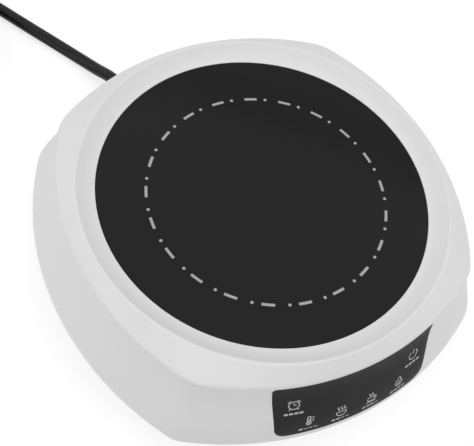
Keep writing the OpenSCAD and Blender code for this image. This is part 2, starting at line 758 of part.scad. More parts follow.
module fan_rotor() color([0.22, 0.22, 0.22]) translate([fan_x, fan_y, fan_z]) {
    low = fan_base_t + rotor_lift;
    difference() {
        translate([0, 0, low]) cylinder(r = hub_r, h = cup_h);
        translate([0, 0, low - past]) cylinder(r = hub_r - cup_wall, h = cup_h - cup_wall + past);
    }
    translate([0, 0, fan_base_t]) cylinder(r = shaft_r, h = low + cup_h - fan_base_t - cup_wall / 2);
    intersection() {
        difference() {
            translate([0, 0, low]) cylinder(r = duct_r - blade_gap, h = cup_h, $fn = side_fn);
            translate([0, 0, low - past]) cylinder(r = hub_r - cup_wall / 2, h = cup_h + 2 * past);
        }
        for (i = [0:blade_count - 1]) rotate(360 * i / blade_count)
            translate([0, 0, low + cup_h / 2]) rotate([blade_pitch, 0, 0])
                translate([hub_r / 2, -blade_t / 2, -cup_h]) cube([duct_r, blade_t, 2 * cup_h]);
    }
}

// Power board and what stands on it; places are given from the board's middle
module on_board(p) {
    translate([board_place + p[0], p[1], board_top]) children();
}

// A block that stands on z = 0 with the z axis through its middle
module block(s) {
    translate([-s[0] / 2, -s[1] / 2, 0]) cube(s);
}

board_screw_l = board_t + board_lift + floor_bite;
clamp_block = [18, 10, 11];
clamp_block_edge = 1;
clamp_block_at = [-14, board_y / 2 - clamp_block[1] / 2 - clamp_block_edge];
port_pitch = 5;
port_rise = 5;
port_z = board_top + port_rise;

module power_board() color("darkgreen") difference() {
    translate([board_place - board_x / 2, -board_y / 2, board_z]) cube([board_x, board_y, board_t]);
    at_board_screws() translate([0, 0, board_z - past]) cylinder(r = board_screw_r, h = board_t + 2 * past);
}

module mains_terminal() color("seagreen") on_board(clamp_block_at) block(clamp_block);

fuse_at = [7, 38];
fuse_r = 2.6;
fuse_l = 20;
fuse_lift = 1;
fuse_clip_w = 4;

module mains_fuse() color("lightsteelblue") on_board(fuse_at) {
    translate([-fuse_l / 2, 0, fuse_r + fuse_lift]) rotate([0, 90, 0]) cylinder(r = fuse_r, h = fuse_l);
    for (x = [-1, 1]) translate([x * (fuse_l - fuse_clip_w) / 2, 0, 0])
        block([fuse_clip_w, 2 * fuse_r, fuse_r + fuse_lift]);
}

film_capacitor = [18, 8, 13];
film_capacitor_at = [18, 24];
can_r = 5;
can_h = 13;
CANS = [[0, 12], [11, 12]];

module filter_capacitors() color("steelblue") {
    on_board(film_capacitor_at) block(film_capacitor);
    for (p = CANS) on_board(p) cylinder(r = can_r, h = can_h);
}

choke_at = [21, -3.5];
choke_ring_r = 6.5;
choke_wire_r = 3.2;

module choke_coil() color("peru") on_board(choke_at) translate([0, 0, choke_wire_r])
    rotate_extrude() translate([choke_ring_r, 0]) circle(r = choke_wire_r);

transformer_at = [-14, 20];
core_base = [16, 13, 4];
core_waist = [12, 10, 7];
core_cap = [16, 13, 3];

module supply_transformer() color("gold") on_board(transformer_at) {
    block(core_base);
    translate([0, 0, core_base[2]]) block(core_waist);
    translate([0, 0, core_base[2] + core_waist[2]]) block(core_cap);
}

relay_at = [-16, -6];
relay = [19, 16, 15];

module power_relay() color("royalblue") on_board(relay_at) block(relay);

heatsink_at = [12, -24];
heatsink_gap = 3.2;
heatsink = [32, 4, shield_z - board_top - heatsink_gap];
fin_count = 6;
fin_t = 1.6;
fin_reach = 8;
fin_pitch = (heatsink[0] - fin_t) / (fin_count - 1);
triac_lift = 2;
triac = [10, 4, heatsink[2] - triac_lift];

module triac_heatsink() color("silver") on_board(heatsink_at) {
    block(heatsink);
    for (i = [0:fin_count - 1]) translate([i * fin_pitch - heatsink[0] / 2, heatsink[1] / 2 - weld, 0])
        cube([fin_t, fin_reach + weld, heatsink[2]]);
    translate([-triac[0] / 2, -heatsink[1] / 2 - triac[1], triac_lift])
        cube([triac[0], triac[1] + weld, triac[2]]);
}

// Control board, switches, lights and buzzer
control_bite = 6;
control_screw_l = board_t + control_bite;
control_rise = 0.5;
stem_reach = 1.2;
stem_room = 0.5;
switch_bore = stem_reach + key_travel + stem_room;

module control_board() color("darkgreen") difference() {
    on_panel() translate([-control_w / 2, -control_h / 2 + control_rise, board_w - board_t])
        cube([control_w, control_h, board_t]);
    for (p = CONTROL_SCREWS) on_panel() translate([p[0], p[1], board_w - board_t - past])
        cylinder(r = control_screw_r, h = board_t + 2 * past);
}

module key_switches() color("dimgray") for (i = [0:5])
    on_panel() translate([KEYS[i][0], key_v(i), board_w]) difference() {
        block([switch_w, switch_w, switch_h]);
        translate([0, 0, switch_h - switch_bore]) cylinder(r = key_stem_r + key_gap, h = switch_h);
    }

led_h = 4;

module indicator_lights() color("tomato") for (i = [0:5])
    on_panel() translate([KEYS[i][0], led_v(i), board_w]) cylinder(r = led_r, h = led_h);

buzzer_at = [-20, 1];
buzzer_r = 5.5;
buzzer_h = 5;

module buzzer() color([0.1, 0.1, 0.1]) on_panel()
    translate([buzzer_at[0], buzzer_at[1], board_w - board_t - buzzer_h])
        cylinder(r = buzzer_r, h = buzzer_h);

// Film and keys
module panel_film() color([0.16, 0.16, 0.16]) intersection() {
    front_skin(0, film_t);
    film_prism(0);
}

module key(i) color("gray") {
    intersection() {
        at_key(i) translate([0, 0, -key_flange_depth - weld])
            cylinder(r = key_r, h = key_flange_depth + wall);
        front_body(film_t + film_gap + key_film_gap);
    }
    at_key(i) translate([0, 0, -key_flange_depth - key_flange_t])
        cylinder(r = key_r + key_flange_w, h = key_flange_t);
    stem_end = board_w + switch_h - stem_reach - key_w(i);
    at_key(i) translate([0, 0, stem_end]) cylinder(r = key_stem_r, h = -key_flange_depth - weld - stem_end);
}

module key_timer() key(0);
module key_mode_1() key(1);
module key_mode_2() key(2);
module key_mode_3() key(3);
module key_mode_4() key(4);
module key_power() key(5);

// Feet and screws
module rubber_feet() color([0.2, 0.2, 0.2]) corners4(foot_place)
    cylinder(r = foot_r, h = skirt_z + foot_pocket);

module housing_screws() color("silver") corners4(corner_screw_place) translate([0, 0, corner_seat_z])
    mirror([0, 0, 1]) screw(corner_screw_r, corner_screw_l);

module heater_screws() color("silver") at_bar_screws() translate([0, 0, bar_z]) mirror([0, 0, 1])
    screw(bar_screw_r, bar_screw_l);

module shield_screws() color("silver") at_shield_posts() translate([0, 0, shield_z + shield_t])
    screw(board_screw_r, shield_screw_l);

module fan_screws() color("silver") at_fan_screws() translate([0, 0, fan_z + fan_t])
    screw(fan_screw_r, fan_screw_l);

module board_screws() color("silver") at_board_screws() translate([0, 0, board_top])
    screw(board_screw_r, board_screw_l);

module control_screws() color("silver") for (p = CONTROL_SCREWS)
    on_panel() translate([p[0], p[1], board_w - board_t]) mirror([0, 0, 1])
        screw(control_screw_r, control_screw_l);

clamp_bite = 5;
clamp_screw_l = clamp_h + clamp_bite;

module clamp_screws() color("silver") at_clamp_screws() translate([0, 0, cord_z + clamp_h])
    screw(board_screw_r, clamp_screw_l);

// Strain relief and clamp
relief_y0 = cord_face_y - cord_boss_t - relief_flange_t;
relief_end = cord_face_y + relief_flange_t + relief_sleeve_l;
relief_tip_t = 1;

module cord_strain_relief() color([0.1, 0.1, 0.1]) translate([cord_x, 0, cord_z]) rotate([-90, 0, 0])
    rotate_extrude() polygon([[cord_hole_r, relief_y0], [relief_flange_r, relief_y0],
        [relief_flange_r, relief_y0 + relief_flange_t], [relief_r, relief_y0 + relief_flange_t],
        [relief_r, cord_face_y], [relief_flange_r, cord_face_y],
        [relief_flange_r, cord_face_y + relief_flange_t], [relief_r, cord_face_y + relief_flange_t],
        [cord_hole_r + relief_tip_t, relief_end], [cord_hole_r, relief_end]]);

module cord_clamp() color("whitesmoke") difference() {
    translate([cord_x - clamp_w / 2, clamp_mid_y - clamp_l / 2, cord_z]) cube([clamp_w, clamp_l, clamp_h]);
    along_y(cord_x, cord_z, cord_hole_r, clamp_mid_y - clamp_l, clamp_mid_y + clamp_l);
    at_clamp_screws() translate([0, 0, cord_z - past]) cylinder(r = board_screw_r, h = clamp_h + 2 * past);
}

// A round tube along a list of points; ref is a direction that no part of the route runs along
function unit(v) = v / norm(v);
function heading(P, i) = unit(P[min(i + 1, len(P) - 1)] - P[max(i - 1, 0)]);
function ring(P, i, r, n, ref) = let (t = heading(P, i), s = unit(cross(t, ref)), u = cross(s, t))
    [for (k = [0:n - 1]) P[i] + r * (cos(360 * k / n) * s + sin(360 * k / n) * u)];

module tube(P, r, n, ref) {
    m = len(P);
    polyhedron(
        points = [for (i = [0:m - 1]) each ring(P, i, r, n, ref)],
        faces = concat(
            [for (k = [1:n - 2]) [0, k, k + 1]],
            [for (i = [0:m - 2], k = [0:n - 1]) [i * n + k, (i + 1) * n + k, (i + 1) * n + (k + 1) % n]],
            [for (i = [0:m - 2], k = [0:n - 1]) [i * n + k, (i + 1) * n + (k + 1) % n, i * n + (k + 1) % n]],
            [for (k = [1:n - 2]) [(m - 1) * n, (m - 1) * n + k + 1, (m - 1) * n + k]]),
        convexity = 8);
}

// A smooth curve through a list of points, with n steps between neighbours
function smooth(P, n) = concat([for (i = [0:len(P) - 2], j = [0:n - 1])
    let (t = j / n, a = P[max(i - 1, 0)], b = P[i], c = P[i + 1], d = P[min(i + 2, len(P) - 1)])
    0.5 * (2 * b + (c - a) * t + (2 * a - 5 * b + 4 * c - d) * t * t + (3 * b - a - 3 * c + d) * t * t * t)],
    [P[len(P) - 1]]);

// A route whose first and last stretches stay straight, so that its ends are square
function route(P, n) = concat([P[0]], smooth([for (i = [1:len(P) - 2]) P[i]], n), [P[len(P) - 1]]);

// Wires inside the body
wire_r = 1.1;
wire_sides = 8;
wire_steps = 3;
wire_stub = 4;
jacket_end_y = clamp_mid_y - clamp_l / 2 - 2;
// The mains leads fan out on their way, and the middle one runs below its neighbours
lead_spread = 1.8;
lead_fan = 4;
lead_z = [1, -1.4, 1];
lead_sag = [0, 6, 0];

module wire(P, ref) {
    tube(route(P, wire_steps), wire_r, wire_sides, ref);
}

module mains_leads() color("saddlebrown") for (i = [0:2]) {
    start = [cord_x + (i - 1) * lead_spread, jacket_end_y, cord_z + lead_z[i]];
    end = [board_place + clamp_block_at[0] + (i - 1) * port_pitch,
        clamp_block_at[1] + clamp_block[1] / 2, port_z];
    way = [end[0] - start[0], end[1] - start[1]];
    aside = (i - 1) * lead_fan * [-way[1], way[0]] / norm(way);
    middle = [(start[0] + end[0]) / 2 + aside[0], (start[1] + end[1]) / 2 + aside[1], port_z - lead_sag[i]];
    wire([start, start - [0, wire_stub, 0], middle, end + [0, 1.5 * wire_stub, 0], end], [0, 0, 1]);
}

// Each heater lead leaves its terminal outwards, drops down the wall and ends on the board
heater_foot = [23, 33];
heater_foot_spread = 3;
HEATER_DROP = [[0, 0], [4, 0], [10, -4], [11, -16]];
heater_low = [6, 10];

module heater_leads() color("firebrick") for (s = [-1, 1]) rotate(terminal_angle) {
    out = pan_r + terminal_l;
    y = s * terminal_w / 4;
    z = terminal_z + terminal_h / 2;
    foot = [[cos(terminal_angle), sin(terminal_angle)], [-sin(terminal_angle), cos(terminal_angle)]]
        * [board_place + heater_foot[0] - s * heater_foot_spread, heater_foot[1]];
    wire(concat([for (p = HEATER_DROP) [out + p[0], y, z + p[1]]],
        [[out + heater_low[0], y, board_top + heater_low[1]],
            [foot[0], foot[1], board_top + wire_stub], [foot[0], foot[1], board_top]]), [0, 1, 0]);
}

fan_lead_rise = 8;
fan_lead_edge = 3;

module fan_lead() color("goldenrod") {
    start = [fan_x + fan_size / 2, fan_y, fan_z + fan_lead_rise];
    end = [board_place - board_x / 2 + fan_lead_edge, fan_y, board_top];
    wire([start, start + [wire_stub, 0, 0], end + [0, 0, wire_stub], end], [0, 1, 0]);
}

// Flat cable from the back of the control board to the front edge of the power board
cable_w = 10;
cable_t = 0.8;
cable_in = 16;
cable_drop = 2.2;
cable_stub = 8;
cable_rise = 9;
cable_edge = 6;
// The cable leaves the control board's back just below the heat shield
cable_w0 = board_w - board_t;
cable_start_z = shield_z - cable_drop;
cable_v = (cable_start_z - panel_z - cable_w0 * sin(panel_lean)) / cos(panel_lean);
cable_start = [-wall_half(panel_z) + cable_v * sin(panel_lean) - cable_w0 * cos(panel_lean), cable_start_z];
cable_end = [-board_y / 2 + cable_edge, board_top];

module control_cable() color("gainsboro") {
    s = cable_start;
    e = cable_end;
    out = [cos(panel_lean), -sin(panel_lean)];
    up = [sin(panel_lean), cos(panel_lean)] * cable_t;
    bend = e + [0, cable_rise];
    translate([board_place - cable_in, 0, 0]) rotate([90, 0, 90]) linear_extrude(cable_w)
        polygon([s, s + cable_stub * out, bend, e, e + [cable_t, 0], bend + [cable_t, cable_t],
            s + cable_stub * out + up, s + up]);
}

// Power cord: a free stretch along the table, then the spare length coiled in two layers
cord_r = cord_d / 2;
lead_sides = 10;
coil_sides = 6;
coil_mid = [-108, 193];
coil_start_angle = 31.5;
coil_pitch = cord_d + coil_gap;
coil_in = coil_out - coil_pitch * coil_turns;
coil_low = cord_r + tie_gap + tie_t;
coil_high = coil_low + coil_pitch;
coil_sweep = 360 * coil_turns;
coil_step = 15;
coil_dir = [-sin(coil_start_angle), cos(coil_start_angle), 0];

// Radius and height of the coil after turning through q degrees: in, a half turn up, and out again
function coil_radius(q) = q <= coil_sweep ? coil_out - coil_pitch * q / 360
    : q >= coil_sweep + 180 ? coil_in + coil_pitch * (q - coil_sweep - 180) / 360
    : let (a = q - coil_sweep) coil_in - coil_pitch * a / 360 * (1 - a / 180);
function coil_height(q) = q <= coil_sweep ? coil_low
    : q >= coil_sweep + 180 ? coil_high : coil_low + coil_pitch * (q - coil_sweep) / 180;
function coil_point(q) = let (a = coil_start_angle + q)
    [coil_mid[0] + coil_radius(q) * cos(a), coil_mid[1] + coil_radius(q) * sin(a), coil_height(q)];
coil_end_q = 2 * coil_sweep + 180;
coil_end_angle = coil_start_angle + coil_end_q;
coil_end_dir = [-sin(coil_end_angle), cos(coil_end_angle), 0];
coil_first = coil_point(0) - cord_d * coil_dir;
coil_last = coil_point(coil_end_q) + coil_tail * coil_end_dir;
COIL = concat([coil_first, coil_first + cord_r * coil_dir],
    [for (q = [0:coil_step:coil_end_q]) coil_point(q)],
    [coil_last - cord_d * coil_end_dir, coil_last]);

// Least gap between stretches of the coil that lie a quarter turn or more apart
gap_skip = 90 / coil_step + 2;
coil_least_gap = min([for (i = [0:len(COIL) - 1 - gap_skip], j = [i + gap_skip:len(COIL) - 1])
    norm(COIL[i] - COIL[j])]) - cord_d;
echo(coil_least_gap = coil_least_gap);

// Free stretch: out of the strain relief, down to the table and straight away to the back left
LEAD = concat([[cord_x, jacket_end_y, cord_z], [cord_x, cord_face_y, cord_z], [cord_x, relief_end, cord_z],
    [-18, 119, 10.5], [-22, 131.5, 6.1], [-27.8, 144.7, 3.6], [-35.8, 158.4, 3.4], [-44.8, 173.4, 3.4],
    [-53.8, 188.4, 3.6]],
    [coil_first - 2 * cord_d * coil_dir, coil_first - cord_d * coil_dir, coil_first]);

module power_cord_lead() color([0.1, 0.1, 0.1]) tube(route(LEAD, 2), cord_r, lead_sides, [0, 0, 1]);

module power_cord_coil() color([0.1, 0.1, 0.1]) tube(COIL, cord_r, coil_sides, [0, 0, 1]);

// Tie round the bundle, an eighth of a turn past the coil's start
tie_angle = 45;
tie_bow = 0.4;
tie_in = min(coil_radius(coil_sweep - coil_sweep % 360 + tie_angle),
    coil_radius(coil_sweep + 180 + (tie_angle + 720 - coil_sweep - 180) % 360)) - cord_r - tie_gap - tie_bow;
tie_out = coil_radius(tie_angle) + cord_r + tie_gap;

module cord_tie() color([0.15, 0.15, 0.15]) translate([coil_mid[0], coil_mid[1], 0])
    rotate(coil_start_angle + tie_angle) difference() {
        translate([tie_in - tie_t, -tie_w / 2, 0])
            cube([tie_out - tie_in + 2 * tie_t, tie_w, coil_high + cord_r + tie_gap + tie_t]);
        translate([tie_in, -tie_w, tie_t])
            cube([tie_out - tie_in, 2 * tie_w, coil_high + cord_r + tie_gap - tie_t]);
    }

// Plug, lying on the table at the end of the coil; x runs along the cord towards the blades
plug_h = 2 * coil_high;
plug_face = plug_sleeve_l + plug_l;
blades_z = 4.4;
earth_z = blades_z - earth_drop;
sleeve_r = cord_r + 1.4;
sleeve_flare = 2.2;
plug_corner = 3;
mould_gap = 0.03;

module at_plug() {
    translate(coil_last) rotate(coil_end_angle + 90) children();
}

module blade_pair(g) {
    for (s = [-1, 1]) translate([plug_face - blade_root - g, s * blade_pitch_w / 2 - plug_blade_t / 2 - g,
        blades_z - plug_blade_w / 2 - g])
        cube([blade_root + plug_blade_l + g, plug_blade_t + 2 * g, plug_blade_w + 2 * g]);
}

module earth_rod(g) {
    translate([plug_face - blade_root - g, 0, earth_z]) rotate([0, 90, 0])
        cylinder(r = earth_r + g, h = blade_root + earth_l + g);
}

module plug_body() color([0.1, 0.1, 0.1]) at_plug() difference() {
    union() {
        rotate([0, 90, 0]) cylinder(r1 = sleeve_r, r2 = sleeve_r + sleeve_flare, h = plug_sleeve_l + weld);
        translate([plug_sleeve_l, -plug_w / 2 + plug_corner, -plug_h / 2])
            cube([plug_l, plug_w - 2 * plug_corner, plug_h]);
        translate([plug_sleeve_l, -plug_w / 2, -plug_h / 2 + plug_corner])
            cube([plug_l, plug_w, plug_h - 2 * plug_corner]);
        for (y = [-1, 1], z = [-1, 1]) translate([plug_sleeve_l, y * (plug_w / 2 - plug_corner),
            z * (plug_h / 2 - plug_corner)]) rotate([0, 90, 0]) cylinder(r = plug_corner, h = plug_l);
    }
    blade_pair(mould_gap);
    earth_rod(mould_gap);
}

module plug_blades() color("gold") at_plug() blade_pair(0);

module plug_earth_pin() color("gold") at_plug() earth_rod(0);

upper_housing();
lower_housing();
glass_plate();
glass_seal();
heater_pan();
heater_insulation();
insulation_rim();
heating_ribbon();
thermal_limiter();
heater_terminal();
heater_crossbar();
heat_shield();
temperature_sensor();
fan_frame();
fan_coil();
fan_rotor();
power_board();
power_relay();
mains_terminal();
mains_fuse();
filter_capacitors();
choke_coil();
supply_transformer();
triac_heatsink();
control_board();
key_switches();
indicator_lights();
buzzer();
panel_film();
key_timer();
key_mode_1();
key_mode_2();
key_mode_3();
key_mode_4();
key_power();
rubber_feet();
housing_screws();
heater_screws();
shield_screws();
fan_screws();
board_screws();
control_screws();
clamp_screws();
cord_strain_relief();
cord_clamp();
mains_leads();
heater_leads();
fan_lead();
control_cable();
power_cord_lead();
power_cord_coil();
cord_tie();
plug_body();
plug_blades();
plug_earth_pin();
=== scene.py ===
import json
import math

import bpy
from bpy.props import FloatProperty, FloatVectorProperty, IntProperty, PointerProperty
from mathutils import Matrix, Vector


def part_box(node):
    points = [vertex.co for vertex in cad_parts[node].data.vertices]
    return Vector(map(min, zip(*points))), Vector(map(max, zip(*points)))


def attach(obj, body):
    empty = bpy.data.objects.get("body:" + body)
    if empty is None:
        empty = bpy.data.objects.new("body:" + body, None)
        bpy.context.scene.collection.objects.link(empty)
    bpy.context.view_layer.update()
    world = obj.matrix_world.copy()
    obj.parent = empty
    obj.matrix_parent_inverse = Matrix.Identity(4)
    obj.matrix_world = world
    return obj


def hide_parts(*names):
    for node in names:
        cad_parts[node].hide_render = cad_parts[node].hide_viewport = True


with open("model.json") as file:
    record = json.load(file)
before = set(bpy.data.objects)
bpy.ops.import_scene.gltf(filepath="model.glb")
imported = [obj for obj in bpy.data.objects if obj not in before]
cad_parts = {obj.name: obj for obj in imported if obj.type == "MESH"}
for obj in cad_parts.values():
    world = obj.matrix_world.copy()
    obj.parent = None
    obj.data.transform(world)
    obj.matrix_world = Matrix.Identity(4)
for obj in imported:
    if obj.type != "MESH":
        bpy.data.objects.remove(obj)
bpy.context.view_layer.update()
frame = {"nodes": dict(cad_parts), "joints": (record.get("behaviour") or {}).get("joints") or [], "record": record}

bl_info = {
    "name": "Hot plate dressing",
    "version": (1, 0, 0),
    "blender": (4, 5, 0),
    "location": "3D View > Sidebar > Hot plate",
    "description": "Models the visible pieces of a table-top hot plate around its packed frame",
    "category": "Object",
}

MM = 0.001
UPPER_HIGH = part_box("upper_housing")[1]
LOWER_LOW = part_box("lower_housing")[0]
GLASS_LOW, GLASS_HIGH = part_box("glass_plate")
FILM_LOW, FILM_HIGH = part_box("panel_film")
FOOT_LOW, FOOT_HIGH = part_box("rubber_feet")
FAN_LOW, FAN_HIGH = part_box("fan_rotor")
KEY_NODES = ["key_timer", "key_mode_1", "key_mode_2", "key_mode_3", "key_mode_4", "key_power"]
MERGE = 0.001 * MM
WHITE = (1, 1, 1, 1)


# Sizes and colours that a user would change

def number(name, description, default, **more):
    return FloatProperty(name=name, description=description, default=default, **more)


def length(name, description, metres):
    return number(name, description, metres, unit="LENGTH", precision=5)


def mm(name, description, millimetres):
    return length(name, description, millimetres * MM)


def angle(name, description, degrees):
    return number(name, description, math.radians(degrees), subtype="ANGLE")


def vector(name, description, default, subtype, **more):
    return FloatVectorProperty(name=name, description=description, default=default, size=3,
                               subtype=subtype, **more)


def colour(name, description, default):
    return vector(name, description, default, "COLOR", min=0, max=1)


class ShellSizes(bpy.types.PropertyGroup):
    """Sizes of the two shells, the glass plate, the film and the feet."""

    body_half: length("Widest half width", "Half width of the body at the seam", UPPER_HIGH.x)
    seam_bow: mm("Seam bow", "How far behind the middle a side's arc is centred, at the seam", 42)
    seam_soft: mm("Seam corners", "Reach of the blend where two sides meet at the seam", 0.9)
    seam_z: mm("Seam height", "Height of the seam between the shells", 23)
    crease_half: mm("Crease half width", "Half width at the crease below the top slope", 89.7)
    crease_bow: mm("Crease bow", "How far behind the middle it is centred, at the crease", 34.4)
    crease_soft: mm("Crease corners", "Reach of the blend where two sides meet at the crease", 1.9)
    crease_z: mm("Crease height", "Height of the crease below the top slope", 60.6)
    crease_round: mm("Crease rounding", "How far the crease's rounding reaches down", 0.7)
    crest_r: mm("Crest radius", "Radius of the round crest", 84)
    crest_round: mm("Crest rounding", "How far the crest's rounding reaches into the dish", 1)
    dish_power: number("Dish", "Hollowness of the dish, 1 for a straight slope", 1.4)
    seam_bevel: mm("Seam bevel", "Bevel of both shells at the seam", 0.4)
    wall: mm("Wall", "Thickness of the walls", 2.6)
    recess_r: mm("Recess radius", "Radius of the recess that holds the glass", 75.12)
    lip_z: mm("Lip height", "Height of the dish's edge at the glass", 61.9)
    ledge_r: mm("Ledge radius", "Inner radius of the ledge under the glass", 70)
    ledge_z: mm("Ledge height", "Height of the ledge under the glass", 57.4)
    ledge_t: mm("Ledge thickness", "Thickness of the ledge", 2.4)
    tray_half: mm("Tray half width", "Half width of the lower shell at its bottom", 86.5)
    tray_bevel: mm("Tray bevel", "Rounding of the lower shell's bottom edge", 1.5)
    tray_bulge: mm("Tray bulge", "Swell of the lower shell's wall", 0.5)
    floor_z: mm("Floor height", "Height of the floor inside", 6.4)
    tongue_h: mm("Tongue height", "How far the lower shell's tongue rises past the seam", 3)
    tongue_in: mm("Tongue inset", "How far the tongue lies inside the widest line", 2.7)
    tongue_t: mm("Tongue thickness", "Thickness of the tongue", 1.5)
    glass_edge: mm("Glass edge", "Bevel of the glass plate's rim", 0.35)
    film_top_half: mm("Film top", "Half width of the film at its top", 39.8)
    film_bottom_half: mm("Film bottom", "Half width of the film at its bottom", 38)
    film_top_r: mm("Film top corners", "Rounding of the film's top corners", 2)
    film_bottom_r: mm("Film bottom corners", "Rounding of the film's bottom corners", 6)
    film_proud: mm("Film edge", "How far the film stands proud of the wall", 0.08)
    key_hole_r: mm("Key hole radius", "Radius of the hole round a key", 3.6)
    foot_r: mm("Foot radius", "Radius of a rubber foot", 7.5)
    foot_place: mm("Foot place", "Distance of a foot from the middle", 70)
    screw_place: mm("Screw place", "Distance of a housing screw from the middle", 85)
    screw_hole_r: mm("Screw hole radius", "Radius of the hole over a screw's head", 3.65)
    vent_w: mm("Vent width", "Width of a vent in the lower shell's sides", 3)
    vent_h: mm("Vent height", "Height of a vent", 7)
    vent_z: mm("Vent foot", "Height of the vents' lower ends", 10.4)
    vent_pitch: mm("Vent spacing", "Spacing of the vents", 8)
    slot_w: mm("Fan slot width", "Width of a slot under the fan", 5)
    slot_pitch: mm("Fan slot spacing", "Spacing of the slots under the fan", 9)
    slot_reach: mm("Fan slot reach", "Radius that the slots under the fan fill", 26)


class PrintSizes(bpy.types.PropertyGroup):
    """Sizes of the printed marks on the glass and the film."""

    ring_r: mm("Ring radius", "Radius of the printed ring on the glass", 54.1)
    ring_x: mm("Ring place x", "Place of the ring's middle across the glass", 0.4)
    ring_y: mm("Ring place y", "Place of the ring's middle along the glass", -1.65)
    ring_marks: IntProperty(name="Ring marks", description="Dashes in the ring", default=21, min=3)
    ring_start: angle("Ring start", "Direction of the first dash", -32)
    dash_l: mm("Dash length", "Length of a dash in the ring", 5.8)
    dash_w: mm("Dash width", "Width of a dash in the ring", 1.25)
    dot_r: mm("Dot radius", "Radius of a dot in the ring", 0.72)
    mode_z: mm("Mode icon height", "Height of the four icons in the middle", 35.2)
    outer_z: mm("Outer icon height", "Height of the icons at both ends", 46.6)
    line_w: mm("Icon line", "Width of an icon's lines", 0.5)
    bar_w: mm("Level bar width", "Width of a row of level bars", 8.4)
    bar_h: mm("Level bar height", "Height of a level bar", 1.1)
    bar_gap: mm("Level bar gap", "Gap between two level bars", 0.5)
    bar_drop: mm("Level bar drop", "How far below its icon a row of level bars lies", 5.1)
    sink: mm("Print root", "How deep a mark reaches into its surface", 0.03)
    rise: mm("Print rise", "How far a mark stands above its surface", 0.02)


class CordSizes(bpy.types.PropertyGroup):
    """Sizes of the power cord, its coil, its tie, its strain relief and its plug."""

    thickness: mm("Cord thickness", "Diameter of the power cord", 6.4)
    total: length("Cord length", "Length of the power cord from the clamp to the plug", 1.25)
    exit_x: mm("Cord place", "Place of the cord's way out across the back", -16.5)
    exit_z: mm("Cord height", "Height of the cord's way out", 12.5)
    clamp_y: mm("Cord root", "Where the cord begins inside, at its clamp", 74)
    face_y: mm("Outlet face", "Place of the outlet's outer face", 96.5)
    outlet_t: mm("Outlet depth", "Depth of the outlet block", 8.5)
    outlet_w: mm("Outlet width", "Width of the outlet block", 20)
    outlet_top: mm("Outlet top", "Height of the outlet block's top", 19.5)
    relief_hole_r: mm("Outlet bore", "Radius of the bore that holds the strain relief", 4.85)
    relief_flange_r: mm("Relief flange", "Radius of the strain relief's flanges", 5.8)
    relief_flange_t: mm("Relief flange thickness", "Thickness of the relief's flanges", 2)
    relief_end_y: mm("Relief end", "Place of the strain relief's tip", 108.5)
    coil_x: mm("Coil place x", "Middle of the coil across the table", -108)
    coil_y: mm("Coil place y", "Middle of the coil along the table", 193)
    coil_start: angle("Coil start", "Direction in which the coil begins", 31.5)
    coil_out: mm("Coil radius", "Outer radius of the coil's centreline", 43)
    coil_pitch: mm("Coil pitch", "Spacing of the coil's turns and layers", 7.2)
    coil_low: mm("Coil height", "Height of the lower layer's centreline", 4.7)
    coil_turns: number("Coil turns", "Turns in each layer of the coil", 2.25)
    coil_tail: mm("Coil tail", "Straight stretch from the coil to the plug", 24)
    tie_angle: angle("Tie place", "Place of the tie past the coil's start", 45)
    tie_t: mm("Tie thickness", "Thickness of the tie's strap", 1.2)
    tie_w: mm("Tie width", "Width of the tie's strap", 6)
    tie_gap: mm("Tie gap", "Gap between the tie and the cord", 0.3)
    sleeve_l: mm("Plug sleeve", "Length of the plug's sleeve", 18)
    plug_l: mm("Plug length", "Length of the plug's body", 30)
    plug_w: mm("Plug width", "Width of the plug's body", 27)
    blade_pitch: mm("Blade spacing", "Distance between the plug's blades", 12.7)
    blade_l: mm("Blade length", "Length of a blade", 17)
    blade_w: mm("Blade width", "Width of a blade", 6.4)
    blade_t: mm("Blade thickness", "Thickness of a blade", 1.5)
    blade_z: mm("Blade height", "Height of the blades above the plug's middle", 4.4)
    pin_l: mm("Earth pin length", "Length of the earth pin", 20)
    pin_r: mm("Earth pin radius", "Radius of the earth pin", 2.4)
    pin_z: mm("Earth pin height", "Height of the earth pin above the plug's middle", -7.5)


class Finishes(bpy.types.PropertyGroup):
    """Colours of what shows from outside."""

    shell: colour("Shell", "White moulding of both shells", (0.79, 0.79, 0.795))
    glass: colour("Glass", "Black glass plate", (0.0065, 0.0065, 0.007))
    ring_print: colour("Ring print", "Marks on the glass", (0.4, 0.4, 0.41))
    film: colour("Film", "Black film of the control panel", (0.028, 0.028, 0.029))
    icon_print: colour("Icon print", "Marks on the film", (0.5, 0.5, 0.51))
    cord: colour("Cord", "Black jacket of the cord and its plug", (0.005, 0.005, 0.0055))
    tie: colour("Tie", "Black strap round the coil", (0.018, 0.018, 0.019))
    rubber: colour("Rubber", "Dark rubber of the feet", (0.03, 0.03, 0.031))
    floor: colour("Floor", "Pale floor under the object", (0.86, 0.86, 0.86))


class StageSizes(bpy.types.PropertyGroup):
    """Camera, floor and lights."""

    camera_place: vector("Camera place", "Where the camera stands",
                         (-0.18696, -0.1956, 0.44814), "TRANSLATION")
    camera_turn: vector("Camera turn", "How the camera is turned",
                        tuple(map(math.radians, (31.782, -9.527, -27.049))), "EULER")
    lens: number("Lens", "Focal length in millimetres", 80.58)
    floor_half: length("Floor half width", "Half width of the floor", 3)
    sky: number("Sky", "Strength of the even light from all round", 0.351)
    key: number("Key light", "Power of the large light above, in watts", 6.75)
    top: number("Top light", "Power of the second light above, to the back", 5.75)
    left: number("Left light", "Power of the light at the back left", 3.25)
    right: number("Right light", "Power of the light at the front right", 4.95)
    low: number("Low light", "Power of the small low light at the left", 3.1)
    backdrop: number("Backdrop", "What the floor adds towards the eye", 0.7)


# Numbers in rows

def spaced(first, last, steps, skip=0):
    """Evenly spaced values from first to last, without the ones that are skipped at the start."""
    return [first + (last - first) * i / steps for i in range(skip, steps + 1)]


